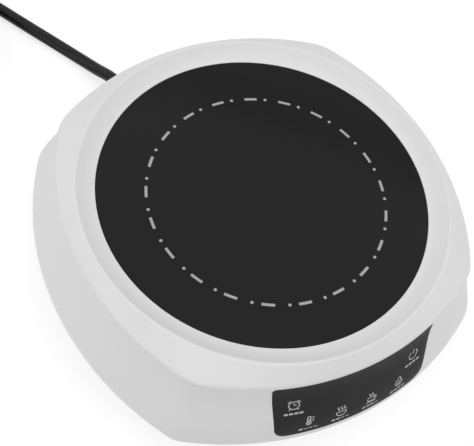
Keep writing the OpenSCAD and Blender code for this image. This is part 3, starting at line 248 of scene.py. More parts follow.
def quarter(steps, skip=0):
    """Angles of a quarter turn."""
    return spaced(0, math.pi / 2, steps, skip)


def arc(x, y, radius, first, last, steps=12):
    """Points of an arc, with its angles in degrees."""
    angles = map(math.radians, spaced(first, last, steps))
    return [(x + radius * math.cos(a), y + radius * math.sin(a)) for a in angles]


def line_between(start, end, steps):
    """Points on a straight line, without its two ends."""
    rows = [spaced(a, b, steps, 1)[:-1] for a, b in zip(start, end)]
    return list(zip(*rows))


def corner_places(reach):
    """The four places at this distance from the middle, towards the corners."""
    return arc(0, 0, reach, 45, 315, 3)


# Modelling helpers

def start_fresh():
    """Leaves edit mode with nothing selected, so that an operator acts on its own piece alone."""
    if bpy.context.object and bpy.context.object.mode != "OBJECT":
        bpy.ops.object.mode_set(mode="OBJECT")
    bpy.ops.object.select_all(action="DESELECT")


def pick(*pieces):
    """Selects these pieces, the first of them active."""
    start_fresh()
    for piece in pieces:
        piece.select_set(True)
    bpy.context.view_layer.objects.active = pieces[0]


def edit_all():
    """Enters edit mode with the whole mesh selected."""
    bpy.ops.object.mode_set(mode="EDIT")
    bpy.ops.mesh.select_all(action="SELECT")


def named(name):
    """Gives the piece that was just added its name."""
    piece = bpy.context.object
    piece.name = name
    piece.data.name = name
    return piece


def close_up(piece, caps=False):
    """Merges doubled points, fills open ends if caps is set, and points the faces outwards."""
    pick(piece)
    edit_all()
    bpy.ops.mesh.remove_doubles(threshold=MERGE)
    if caps:
        bpy.ops.mesh.fill_holes(sides=0)
    bpy.ops.mesh.normals_make_consistent(inside=False)
    bpy.ops.object.mode_set(mode="OBJECT")
    return piece


def smooth(piece, degrees=35):
    """Shades the piece smooth, with a crease where faces meet at more than the angle."""
    pick(piece)
    bpy.ops.object.shade_smooth_by_angle(angle=math.radians(degrees))
    return piece


def placed(piece, matrix):
    """Moves a piece and applies the move to its mesh."""
    piece.matrix_world = matrix
    pick(piece)
    bpy.ops.object.transform_apply(location=True, rotation=True, scale=True)
    return piece


def skin(name, rings, caps=False):
    """A grid laid through rings of points, all with as many points, and closed round each ring."""
    columns = len(rings[0])
    start_fresh()
    bpy.ops.mesh.primitive_grid_add(x_subdivisions=columns, y_subdivisions=len(rings) - 1, size=1)
    piece = named(name)
    places = [ring[i % columns] for ring in rings for i in range(columns + 1)]
    piece.data.vertices.foreach_set("co", [value for place in places for value in place])
    return close_up(piece, caps)


def turned(name, profile, sides):
    """A circle extruded and scaled along a profile of radius and height, with closed ends."""
    start_fresh()
    first_r, first_z = profile[0]
    bpy.ops.mesh.primitive_circle_add(vertices=sides, radius=first_r, location=(0, 0, first_z))
    bpy.ops.object.transform_apply(location=True)
    piece = named(name)
    edit_all()
    for (r0, z0), (r1, z1) in zip(profile, profile[1:]):
        bpy.ops.mesh.extrude_edges_move(TRANSFORM_OT_translate={"value": (0, 0, z1 - z0)})
        bpy.ops.transform.resize(value=(r1 / r0, r1 / r0, 1), center_override=(0, 0, z1))
    bpy.ops.object.mode_set(mode="OBJECT")
    return close_up(piece, caps=True)


def block(name, low, high, bevel, segments=3):
    """A cube between two corners, with its edges rounded."""
    start_fresh()
    low, high = Vector(low), Vector(high)
    bpy.ops.mesh.primitive_cube_add(size=1, location=(low + high) / 2, scale=high - low)
    bpy.ops.object.transform_apply(location=True, scale=True)
    piece = named(name)
    edit_all()
    bpy.ops.mesh.bevel(offset=bevel, segments=segments, affect="EDGES")
    bpy.ops.object.mode_set(mode="OBJECT")
    return piece


def rod(name, radius, start, end, sides=48):
    """A closed cylinder between two points, as a cutting tool."""
    start, end = Vector(start), Vector(end)
    along = end - start
    start_fresh()
    bpy.ops.mesh.primitive_cylinder_add(vertices=sides, radius=radius, depth=along.length)
    return placed(named(name), Matrix.Translation((start + end) / 2)
                  @ along.to_track_quat("Z", "Y").to_matrix().to_4x4())


def joined(name, pieces):
    """Joins pieces into one."""
    pick(*pieces)
    if len(pieces) > 1:
        bpy.ops.object.join()
    return named(name)


def carved(piece, tool, operation="DIFFERENCE"):
    """Cuts a tool out of a piece, or welds it on."""
    pick(piece)
    bpy.ops.object.modifier_add(type="BOOLEAN")
    modifier = piece.modifiers[-1]
    modifier.operation = operation
    modifier.solver = "EXACT"
    modifier.object = tool
    bpy.ops.object.modifier_apply(modifier=modifier.name)
    bpy.data.objects.remove(tool)
    return piece


def dressed(piece, material, slot, *nodes):
    """Gives a piece its material and its place in the frame."""
    piece.data.materials.clear()
    piece.data.materials.append(material)
    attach(piece, "housing")
    if nodes:
        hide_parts(*nodes)
    return piece


# Shapes of the body

COLUMNS = 288
DIRECTIONS = [2 * math.pi * i / COLUMNS for i in range(COLUMNS)]


def soft_min(a, b, reach):
    """The lesser of two values, blended over the reach where they cross."""
    share = max(reach - abs(a - b), 0) / reach
    return min(a, b) - share * share * reach / 4


def side_reach(half, bow, turn):
    """Distance from the middle to a side's arc, in a direction turned from that side's own."""
    return math.sqrt((half + bow) ** 2 - (bow * math.sin(turn)) ** 2) - bow * math.cos(turn)


def swelling(sizes, z, at_crease, at_seam):
    """A size of the wall at a height: one value from the seam down, another from the crease up."""
    share = (z - sizes.seam_z) / (sizes.crease_z - sizes.seam_z)
    swell = (1 + math.cos(math.pi * min(max(share, 0), 1))) / 2
    return at_crease + (at_seam - at_crease) * swell


def wall_half(sizes, z):
    return swelling(sizes, z, sizes.crease_half, sizes.body_half)


def wall_bow(sizes, z):
    return swelling(sizes, z, sizes.crease_bow, sizes.seam_bow)


def outline(sizes, half, z, direction):
    """Distance from the middle to the rounded square's edge at a height."""
    turn = abs((direction + math.pi / 4) % (math.pi / 2) - math.pi / 4)
    bow = wall_bow(sizes, z)
    soft = swelling(sizes, z, sizes.crease_soft, sizes.seam_soft)
    return soft_min(side_reach(half, bow, turn), side_reach(half, bow, math.pi / 2 - turn), soft)


def level(z, reach):
    """A ring of points at one height, where reach gives the distance in each direction."""
    reaches = map(reach, DIRECTIONS)
    return [(r * math.cos(a), r * math.sin(a), z) for a, r in zip(DIRECTIONS, reaches)]


def square_ring(sizes, half, z):
    return level(z, lambda a: outline(sizes, half, z, a))


def round_ring(radius, z):
    return level(z, lambda a: radius)


def front_place(sizes, x, z, lift):
    """A point on the front wall, lifted off it along the wall's own normal."""
    def wall_y(px, pz):
        bow = wall_bow(sizes, pz)
        return bow - math.sqrt((wall_half(sizes, pz) + bow) ** 2 - px * px)

    step = 0.1 * MM
    slope_x = (wall_y(x + step, z) - wall_y(x - step, z)) / (2 * step)
    slope_z = (wall_y(x, z + step) - wall_y(x, z - step)) / (2 * step)
    normal = Vector((slope_x, -1, slope_z)).normalized()
    return Vector((x, wall_y(x, z), z)) + normal * lift


# Printed marks

def stroke(name, surface, marks, line, width, closed=False):
    """A thin raised line of print along points of a surface."""
    rings = []
    count = len(line)
    for i, (u, v) in enumerate(line):
        before = line[i - 1] if closed or i else line[i]
        after = line[(i + 1) % count] if closed or i < count - 1 else line[i]
        along = Vector((after[0] - before[0], after[1] - before[1]))
        side = Vector((-along.y, along.x)).normalized() * width / 2
        left = (u + side.x, v + side.y)
        right = (u - side.x, v - side.y)
        rings.append([surface(*left, -marks.sink), surface(*left, marks.rise),
                      surface(*right, marks.rise), surface(*right, -marks.sink)])
    if closed:
        rings.append(rings[0])
    return skin(name, rings, caps=not closed)


def dot(name, surface, marks, u, v, radius, sides=20):
    """A thin raised round spot of print."""
    rim = arc(u, v, radius, 0, 360 - 360 / sides, sides - 1)
    return skin(name, [[surface(u, v, -marks.sink)] * sides,
                       [surface(*point, -marks.sink) for point in rim],
                       [surface(*point, marks.rise) for point in rim],
                       [surface(u, v, marks.rise)] * sides])


# Materials

def set_inputs(node, **values):
    """Sets inputs of a node by their names, written with _ for a space."""
    for key, value in values.items():
        node.inputs[key.replace("_", " ")].default_value = value
    return node


def add_node(tree, kind, settings=None, **values):
    """Adds a node with its settings and the values of its inputs."""
    node = tree.nodes.new(kind)
    for key, value in (settings or {}).items():
        setattr(node, key, value)
    return set_inputs(node, **values)


def calculated(tree, operation, *values):
    """Result of a Math node whose inputs are sockets or plain numbers."""
    node = add_node(tree, "ShaderNodeMath", {"operation": operation})
    for socket, value in zip(node.inputs, values):
        if isinstance(value, (int, float)):
            socket.default_value = value
        else:
            tree.links.new(value, socket)
    return node.outputs[0]


def ranged(tree, value, low, high):
    """A value from 0 to 1, brought to another range."""
    node = add_node(tree, "ShaderNodeMapRange", To_Min=low, To_Max=high)
    tree.links.new(value, node.inputs["Value"])
    return node.outputs["Result"]


def shaded(tree, tint, factor):
    """A colour times a factor."""
    node = add_node(tree, "ShaderNodeVectorMath", {"operation": "SCALE"})
    tree.links.new(tint, node.inputs[0])
    tree.links.new(factor, node.inputs["Scale"])
    return node.outputs[0]


def noise(tree, place, **values):
    """A noise texture that reads this place."""
    node = add_node(tree, "ShaderNodeTexNoise", **values)
    tree.links.new(place, node.inputs["Vector"])
    return node


def surface_group(name, **values):
    """A shader node group from a colour and these values to a colour, a roughness and a height."""
    tree = bpy.data.node_groups.new(name, "ShaderNodeTree")

    def socket(label, way, kind="Float"):
        return tree.interface.new_socket(name=label, in_out=way, socket_type="NodeSocket" + kind)

    socket("Colour", "INPUT", "Color")
    for label, value in values.items():
        socket(label.replace("_", " "), "INPUT").default_value = value
    socket("Colour", "OUTPUT", "Color")
    socket("Roughness", "OUTPUT")
    socket("Height", "OUTPUT")
    given = tree.nodes.new("NodeGroupInput").outputs
    return tree, given, tree.nodes.new("NodeGroupOutput").inputs


def moulded_grain():
    """Uneven tone, uneven gloss and fine grain of a moulded or rolled surface."""
    tree, given, out = surface_group("moulded_grain", Roughness=0.4, Tone=0.04, Grain_scale=1500,
                                     Gloss_spread=0.06)
    place = tree.nodes.new("ShaderNodeTexCoord").outputs["Object"]
    cloud = noise(tree, place, Scale=45, Detail=3)
    grain = noise(tree, place, Detail=2)
    gloss = noise(tree, place, Scale=120, Detail=4)
    tone = calculated(tree, "MULTIPLY", ranged(tree, cloud.outputs["Fac"], -1, 1), given["Tone"])
    spread = calculated(tree, "MULTIPLY", ranged(tree, gloss.outputs["Fac"], -1, 1),
                        given["Gloss spread"])
    link = tree.links.new
    link(given["Grain scale"], grain.inputs["Scale"])
    link(shaded(tree, given["Colour"], calculated(tree, "ADD", tone, 1)), out["Colour"])
    link(calculated(tree, "ADD", spread, given["Roughness"]), out["Roughness"])
    link(grain.outputs["Fac"], out["Height"])
    return tree


def drawn_lines():
    """Fine lines along x, as rolling, drawing or brushing leaves on metal."""
    tree, given, out = surface_group("drawn_lines", Roughness=0.35)
    stretch = add_node(tree, "ShaderNodeMapping", Scale=(30, 900, 900))
    lines = noise(tree, stretch.outputs["Vector"], Scale=1, Detail=3).outputs["Fac"]
    spread = ranged(tree, lines, -0.1, 0.12)
    link = tree.links.new
    link(tree.nodes.new("ShaderNodeTexCoord").outputs["Object"], stretch.inputs["Vector"])
    link(shaded(tree, given["Colour"], ranged(tree, lines, 0.86, 1.08)), out["Colour"])
    link(calculated(tree, "ADD", spread, given["Roughness"]), out["Roughness"])
    link(lines, out["Height"])
    return tree


def surface_material(name, make_group, tint, relief, group_values, **plain):
    """A material whose colour, gloss and grain come from a group; its other values are plain."""
    full_name = name + "_finish"
    if full_name in bpy.data.materials:
        return bpy.data.materials[full_name]
    material = bpy.data.materials.new(full_name)
    material.use_nodes = True
    tree = material.node_tree
    bsdf = set_inputs(tree.nodes["Principled BSDF"], **plain)
    group = tree.nodes.new("ShaderNodeGroup")
    group.node_tree = bpy.data.node_groups.get(make_group.__name__) or make_group()
    set_inputs(group, Colour=(*tint[:3], 1), **group_values)
    strength, depth = relief
    bump = add_node(tree, "ShaderNodeBump", Strength=strength, Distance=depth)
    tree.links.new(group.outputs["Colour"], bsdf.inputs["Base Color"])
    tree.links.new(group.outputs["Roughness"], bsdf.inputs["Roughness"])
    tree.links.new(group.outputs["Height"], bump.inputs["Height"])
    tree.links.new(bump.outputs["Normal"], bsdf.inputs["Normal"])
    return material


def moulded(name, tint, roughness, relief, tone, grain, spread=0.05, shine=0.5):
    """A moulded finish; relief is the grain's strength and depth, and shine its reflection."""
    values = {"Roughness": roughness, "Tone": tone, "Grain_scale": grain, "Gloss_spread": spread}
    return surface_material(name, moulded_grain, tint, relief, values, Specular_IOR_Level=shine)


def plastic(name, tint, roughness, tone=0.03):
    return moulded(name, tint, roughness, relief=(0.12, 0.05 * MM), tone=tone, grain=1400)


def rubber(name, tint):
    return moulded(name, tint, roughness=0.62, relief=(0.3, 0.06 * MM), tone=0.12, grain=2200,
                   spread=0.08, shine=0.35)


def metal(name, tint, roughness):
    return surface_material(name, drawn_lines, tint, relief=(0.15, 0.02 * MM),
                            group_values={"Roughness": roughness}, Metallic=1.0)


def print_ink(name, tint):
    return moulded(name, tint, roughness=0.5, relief=(0.1, 0.01 * MM), tone=0.06, grain=4000,
                   shine=0.3)


def finishes():
    return bpy.context.scene.plate_finishes


def shell_white():
    return moulded("shell_white", finishes().shell, roughness=0.42, relief=(0.06, 0.05 * MM),
                   tone=0.008, grain=1800)


def black_glass():
    return moulded("black_glass", finishes().glass, roughness=0.16, relief=(0.04, 0.02 * MM),
                   tone=0.1, grain=900, shine=0.11)


def panel_black():
    return moulded("panel_black", finishes().film, roughness=0.5, relief=(0.05, 0.02 * MM),
                   tone=0.1, grain=2500, spread=0.04, shine=0.05)


def cord_black():
    return moulded("cord_black", finishes().cord, roughness=0.26, relief=(0.04, 0.04 * MM),
                   tone=0.15, grain=1200, shine=0.2)


METAL_ROUGHNESS = {"brushed_steel": 0.38, "aluminium": 0.38, "chrome": 0.26, "brass": 0.26}


def inner_finish(slot):
    """The finish of a piece inside the body, from the record's class and colour."""
    entry = next(row for row in frame["record"]["materials"] if row["slot"] == slot)
    tint = entry["base_color"]
    kind = entry["class"]
    if kind in METAL_ROUGHNESS:
        return metal(slot, tint, METAL_ROUGHNESS[kind])
    if kind == "rubber":
        return rubber(slot, tint)
    if kind == "gloss_plastic":
        return plastic(slot, tint, roughness=0.28)
    return plastic(slot, tint, roughness=0.55, tone=0.06)


def seen_share(tree):
    """1 for what the eye sees, also in metal and glass, and 0 for light that falls on a piece."""
    ray = tree.nodes.new("ShaderNodeLightPath").outputs
    seen = calculated(tree, "MAXIMUM", ray["Is Camera Ray"], ray["Is Glossy Ray"])
    return calculated(tree, "MAXIMUM", seen, ray["Is Transmission Ray"])


# Cord route

# The free stretch between the strain relief and the coil, in millimetres
FREE_STRETCH = [(-18, 119, 10.5), (-22, 131.5, 6.1), (-27.8, 144.7, 3.6), (-35.8, 158.4, 3.4),
                (-44.8, 173.4, 3.4), (-53.8, 188.4, 3.6)]


def heading(direction):
    """The way that a coil runs on where it has this direction from its middle."""
    return Vector((-math.sin(direction), math.cos(direction), 0))


def lead_route(sizes):
    """From the clamp through the strain relief, down to the table and away to the back left."""
    held = [Vector((sizes.exit_x, y, sizes.exit_z))
            for y in (sizes.clamp_y, sizes.face_y, sizes.relief_end_y)]
    free = [Vector(point) * MM for point in FREE_STRETCH]
    step = sizes.thickness * heading(sizes.coil_start)
    return held + free + [coil_place(sizes, 0) - step * count for count in (3, 2, 1)]


def coil_radius(sizes, turns):
    """Distance from the coil's middle: inwards below, half a turn up, and outwards again."""
    inner = sizes.coil_out - sizes.coil_pitch * sizes.coil_turns
    past = turns - sizes.coil_turns
    if past <= 0:
        return sizes.coil_out - sizes.coil_pitch * turns
    if past < 0.5:
        return inner - sizes.coil_pitch * past * (1 - 2 * past)
    return inner + sizes.coil_pitch * (past - 0.5)


def coil_direction(sizes, turns):
    return sizes.coil_start + 2 * math.pi * turns


def coil_place(sizes, turns):
    direction = coil_direction(sizes, turns)
    reach = coil_radius(sizes, turns)
    climb = min(max(2 * (turns - sizes.coil_turns), 0), 1)
    return Vector((sizes.coil_x + reach * math.cos(direction),
                   sizes.coil_y + reach * math.sin(direction),
                   sizes.coil_low + sizes.coil_pitch * climb))


def all_turns(sizes):
    return 2 * sizes.coil_turns + 0.5


def coil_end(sizes):
    """Place and direction of the cord's end at the plug."""
    turns = all_turns(sizes)
    onward = heading(coil_direction(sizes, turns))
    return coil_place(sizes, turns) + sizes.coil_tail * onward, onward


def coil_route(sizes, steps=24):
    count = round(all_turns(sizes) * steps)
    turns = [coil_place(sizes, i / steps) for i in range(count + 1)]
    last, onward = coil_end(sizes)
    return turns + [last - sizes.coil_tail * onward / 3, last]


def plug_matrix(sizes):
    """The plug's own frame: x runs out of the cord towards the blades."""
    last, onward = coil_end(sizes)
    return Matrix.Translation(last) @ Matrix.Rotation(math.atan2(onward.y, onward.x), 4, "Z")


# Operators

# Name, place, width and height of each lamp, by the stage value that holds its power
LAMPS = {
    "key": ("key_light", (-0.25, -0.35, 1.5), 1.6, 1.6),
    "top": ("top_light", (0.3, 0.3, 1.5), 1.6, 1.6),
    "left": ("left_light", (-1.1, 1.05, 0.9), 1.2, 1.2),
    "right": ("right_light", (1.05, -1.1, 0.9), 1.2, 1.2),
    "low": ("low_light", (-1.5, 0.12, 0.5), 1, 0.16),
}
LAMP_AIM = Vector((0, 0, 0.04))


class HOTPLATE_OT_stage(bpy.types.Operator):
    """Adds the camera, the pale floor and the soft light"""

    bl_idname = "hot_plate.stage"
    bl_label = "Stage"

    def execute(self, context):
        stage = context.scene.plate_stage
        start_fresh()
        bpy.ops.object.camera_add(location=stage.camera_place, rotation=stage.camera_turn)
        camera = context.object
        camera.name = "camera"
        camera.data.lens = stage.lens
        camera.data.sensor_width = 36
        camera.data.clip_start = 0.01
        context.scene.camera = camera
        self.make_floor(stage)
        for power, lamp in LAMPS.items():
            self.make_lamp(getattr(stage, power), *lamp)
        self.make_world(context, stage)
        context.scene.view_settings.view_transform = "Standard"
        return {"FINISHED"}

    def make_floor(self, stage):
        """A floor that adds some white for the eye alone, and is darker there to keep shadows."""
        start_fresh()
        bpy.ops.mesh.primitive_plane_add(size=2 * stage.floor_half)
        floor = named("floor")
        material = bpy.data.materials.new("pale_floor")
        material.use_nodes = True
        tree = material.node_tree
        bsdf = set_inputs(tree.nodes["Principled BSDF"], Roughness=0.9, Specular_IOR_Level=0.1,
                          Emission_Color=WHITE)
        tint = finishes().floor
        darker = [0.45 * part for part in tint]
        mix = add_node(tree, "ShaderNodeMix", {"data_type": "RGBA"}, A=(*tint, 1), B=(*darker, 1))
        seen = seen_share(tree)
        tree.links.new(seen, mix.inputs["Factor"])
        tree.links.new(mix.outputs["Result"], bsdf.inputs["Base Color"])
        tree.links.new(calculated(tree, "MULTIPLY", seen, stage.backdrop),
                       bsdf.inputs["Emission Strength"])
        floor.data.materials.append(material)

    def make_lamp(self, power, name, place, width, height):
        start_fresh()
        aim = (LAMP_AIM - Vector(place)).to_track_quat("-Z", "Y").to_euler()
        bpy.ops.object.light_add(type="AREA", location=place, rotation=aim)
        lamp = bpy.context.object
        lamp.name = name
        lamp.data.energy = power
        lamp.data.shape = "RECTANGLE"
        lamp.data.size = width
        lamp.data.size_y = height

    def make_world(self, context, stage):
        """Even light on the pieces, and plain white for the eye."""
        world = bpy.data.worlds.new("even_light")
        context.scene.world = world
        world.use_nodes = True
        tree = world.node_tree
        even = set_inputs(tree.nodes["Background"], Color=WHITE, Strength=stage.sky)
        white = add_node(tree, "ShaderNodeBackground", Color=WHITE, Strength=1)
        either = tree.nodes.new("ShaderNodeMixShader")
        tree.links.new(seen_share(tree), either.inputs["Fac"])
        tree.links.new(even.outputs[0], either.inputs[1])
        tree.links.new(white.outputs[0], either.inputs[2])
        tree.links.new(either.outputs[0], tree.nodes["World Output"].inputs["Surface"])


class HOTPLATE_OT_strain_relief(bpy.types.Operator):
    """Turns the ribbed strain relief in the cord's way out"""

    bl_idname = "hot_plate.strain_relief"
    bl_label = "Strain relief"

    def execute(self, context):
        sizes = context.scene.plate_cord
        flange, thickness = sizes.relief_flange_r, sizes.relief_flange_t
        edge, play = 0.3 * MM, 0.1 * MM
        bore = sizes.thickness / 2 + play
        neck = sizes.relief_hole_r - play / 2
        root = sizes.face_y - sizes.outlet_t - thickness
        first = sizes.face_y + thickness
        profile = [(bore, root), (flange - edge, root), (flange, root + edge),
                   (flange, root + thickness), (neck, root + thickness), (neck, sizes.face_y),
                   (flange, sizes.face_y), (flange, first - edge), (flange - edge, first)]
        ribs, thickest, taper = 4, 4.75 * MM, 0.16 * MM
        # How far in millimetres a rib's points lie below its crown, and where along the rib
        rib = [(0.55, 0.02), (0.6, 0.35), (0, 0.45), (0.02, 0.9), (0.2, 1)]
        pitch = (sizes.relief_end_y - first) / ribs
        for i in range(ribs):
            crown = thickest - taper * i
            profile += [(crown - drop * MM, first + (i + share) * pitch) for drop, share in rib]
        profile.append((bore, sizes.relief_end_y))
        relief = turned("strain_relief", profile, sides=48)
        placed(relief, Matrix.Translation((sizes.exit_x, 0, sizes.exit_z))
               @ Matrix.Rotation(-math.pi / 2, 4, "X"))
        smooth(relief)
        dressed(relief, cord_black(), "cord_black", "cord_strain_relief")
        return {"FINISHED"}


class HOTPLATE_OT_cord_tie(bpy.types.Operator):
    """Wraps the strap that holds the coil"""

    bl_idname = "hot_plate.cord_tie"
    bl_label = "Cord tie"

    def execute(self, context):
        sizes = context.scene.plate_cord
        clear = sizes.thickness / 2 + sizes.tie_gap
        slack, bend, edge = 0.4 * MM, 2.2 * MM, 0.35 * MM
        half_t, half_w = sizes.tie_t / 2, sizes.tie_w / 2
        share = sizes.tie_angle / (2 * math.pi)
        lower = math.floor(sizes.coil_turns) + share
        upper = sizes.coil_turns + 0.5 + (share - sizes.coil_turns - 0.5) % 1
        inner = min(coil_radius(sizes, lower), coil_radius(sizes, upper)) - clear - slack
        outer = coil_radius(sizes, share) + clear
        top = sizes.coil_low + sizes.coil_pitch + clear
        near, far = inner - half_t + bend, outer + half_t - bend
        low, high = half_t + bend, top + half_t - bend
        section = [(-half_t, -half_w + edge), (-half_t + edge, -half_w), (half_t - edge, -half_w),
                   (half_t, -half_w + edge), (half_t, half_w - edge), (half_t - edge, half_w),
                   (-half_t + edge, half_w), (-half_t, half_w - edge)]
        rings = []
        for x, z, first in [(far, low, -90), (far, high, 0), (near, high, 90), (near, low, 180)]:
            for a in map(math.radians, spaced(first, first + 90, 8)):
                rings.append([(x + (bend + out) * math.cos(a), across,
                               z + (bend + out) * math.sin(a)) for out, across in section])
        strap = skin("coil_tie", rings + rings[:1])
        middle, half_l, side = (inner + outer) / 2, 4 * MM, half_w + 0.8 * MM
        buckle = block("tie_buckle", (middle - half_l, -side, top - 0.1 * MM),
                       (middle + half_l, side, top + 1.15 * MM), bevel=0.4 * MM)
        tie = joined("coil_tie", [strap, buckle])
        placed(tie, Matrix.Translation((sizes.coil_x, sizes.coil_y, 0))
               @ Matrix.Rotation(sizes.coil_start + sizes.tie_angle, 4, "Z"))
        smooth(tie, degrees=40)
        tie_black = plastic("tie_black", finishes().tie, roughness=0.5, tone=0.1)
        dressed(tie, tie_black, "cord_black", "cord_tie")
        return {"FINISHED"}


class HOTPLATE_OT_plug(bpy.types.Operator):
    """Models the moulded plug with its ribbed sleeve, its blades and its earth pin"""

    bl_idname = "hot_plate.plug"
    bl_label = "Plug"

    def execute(self, context):
        sizes = context.scene.plate_cord
        at_end = plug_matrix(sizes)
        body = smooth(placed(self.make_body(sizes), at_end), degrees=40)
        dressed(body, cord_black(), "cord_black", "plug_body")
        face = sizes.sleeve_l + sizes.plug_l
        root = 3 * MM
        blades = smooth(placed(self.make_blades(sizes, face, root), at_end))
        dressed(blades, inner_finish("pin_brass"), "pin_brass", "plug_blades")
        pin = self.make_pin(sizes, root)
        placed(pin, at_end @ Matrix.Translation((face, 0, sizes.pin_z))
               @ Matrix.Rotation(math.pi / 2, 4, "Y"))
        smooth(pin)
        dressed(pin, inner_finish("pin_brass"), "pin_brass", "plug_earth_pin")
        return {"FINISHED"}

    def make_blades(self, sizes, face, root):
        blades = []
        half_t, half_w, z = sizes.blade_t / 2, sizes.blade_w / 2, sizes.blade_z
        for y in (-sizes.blade_pitch / 2, sizes.blade_pitch / 2):
            blades.append(block("blade", (face - root, y - half_t, z - half_w),
                                (face + sizes.blade_l, y + half_t, z + half_w), bevel=0.45 * MM))
        return joined("plug_contacts", blades)

    def make_pin(self, sizes, root):
        """A round pin whose tip narrows to a small flat."""
        r, tip, flat = sizes.pin_r, 1.6 * MM, 0.35
        straight = sizes.pin_l - tip
        profile = [(r, -root), (r, straight)]
        profile += [(flat * r + (1 - flat) * r * math.cos(a), straight + tip * math.sin(a))
                    for a in quarter(5, 1)]
        return turned("plug_earth_contact", profile, sides=40)

    def make_body(self, sizes):
        """Rings along the plug, each between round, as the sleeve, and square, as the body."""
        half_w, half_h = sizes.plug_w / 2, sizes.coil_low + sizes.coil_pitch
        sleeve, end = sizes.sleeve_l, sizes.sleeve_l + sizes.plug_l
        ribs, thin, thick = 6, 4.6 * MM, 6.6 * MM
        circle, nearly_round, boxy = 2, 2.1, 5.5
        # Where along a rib of the sleeve, and how much thicker in millimetres
        rib = [(0, -0.5), (0.3, -0.5), (0.4, 0), (0.88, 0.25)]
        stations = []
        for i in range(ribs):
            r = thin + (thick - thin) * i / ribs
            stations += [((i + share) * sleeve / ribs, r + more * MM, r + more * MM, circle)
                         for share, more in rib]
        stations.append((sleeve, thick, thick, nearly_round))
        shoulder = 5 * MM
        for a in quarter(8, 1):
            rise = math.sin(a)
            stations.append((sleeve + shoulder * (1 - math.cos(a)),
                             thick + (half_w - thick) * rise, thick + (half_h - thick) * rise,
                             nearly_round + (boxy - nearly_round) * rise))
        grips, first, pitch = 5, 8 * MM, 3 * MM
        # Where along a grip's groove, and how deep, both in millimetres
        groove = [(0, 0), (0.35, 0.7), (1.35, 0.7), (1.7, 0)]
        for i in range(grips):
            x = sleeve + first + i * pitch
            stations += [(x + along * MM, half_w - deep * MM, half_h, boxy)
                         for along, deep in groove]
        bevel = 1.6 * MM
        for a in quarter(5):
            inset = bevel * (1 - math.cos(a))
            stations.append((end - bevel + bevel * math.sin(a), half_w - inset, half_h - inset,
                             boxy))
        return skin("plug_moulding", [self.section(*row) for row in stations], caps=True)

    def section(self, x, half_w, half_h, power, sides=72):
        """A ring round the plug; its power makes it round at 2 and squarer above."""
        ring = []
        for i in range(sides):
            a = 2 * math.pi * i / sides
            c, s = math.cos(a), math.sin(a)
            reach = (abs(c) ** power + abs(s) ** power) ** (-1 / power)
            ring.append((x, half_w * reach * c, half_h * reach * s))
        return ring


class HOTPLATE_OT_power_cord(bpy.types.Operator):
    """Lays the power cord along the table and into its coil"""

    bl_idname = "hot_plate.power_cord"
    bl_label = "Power cord"

    def execute(self, context):
        sizes = context.scene.plate_cord
        route = lead_route(sizes) + coil_route(sizes)
        curve = bpy.data.curves.new("power_cord", "CURVE")
        curve.dimensions = "3D"
        curve.resolution_u = 6
        curve.bevel_depth = sizes.thickness / 2
        curve.bevel_resolution = 6
        curve.use_fill_caps = True
        spline = curve.splines.new("BEZIER")
        spline.bezier_points.add(len(route) - 1)
        for point, place in zip(spline.bezier_points, route):
            point.co = place
            point.handle_left_type = "AUTO"
            point.handle_right_type = "AUTO"
        cord = bpy.data.objects.new("power_cord", curve)
        context.scene.collection.objects.link(cord)
        dressed(cord, cord_black(), "cord_black", "power_cord_lead", "power_cord_coil")
        return {"FINISHED"}


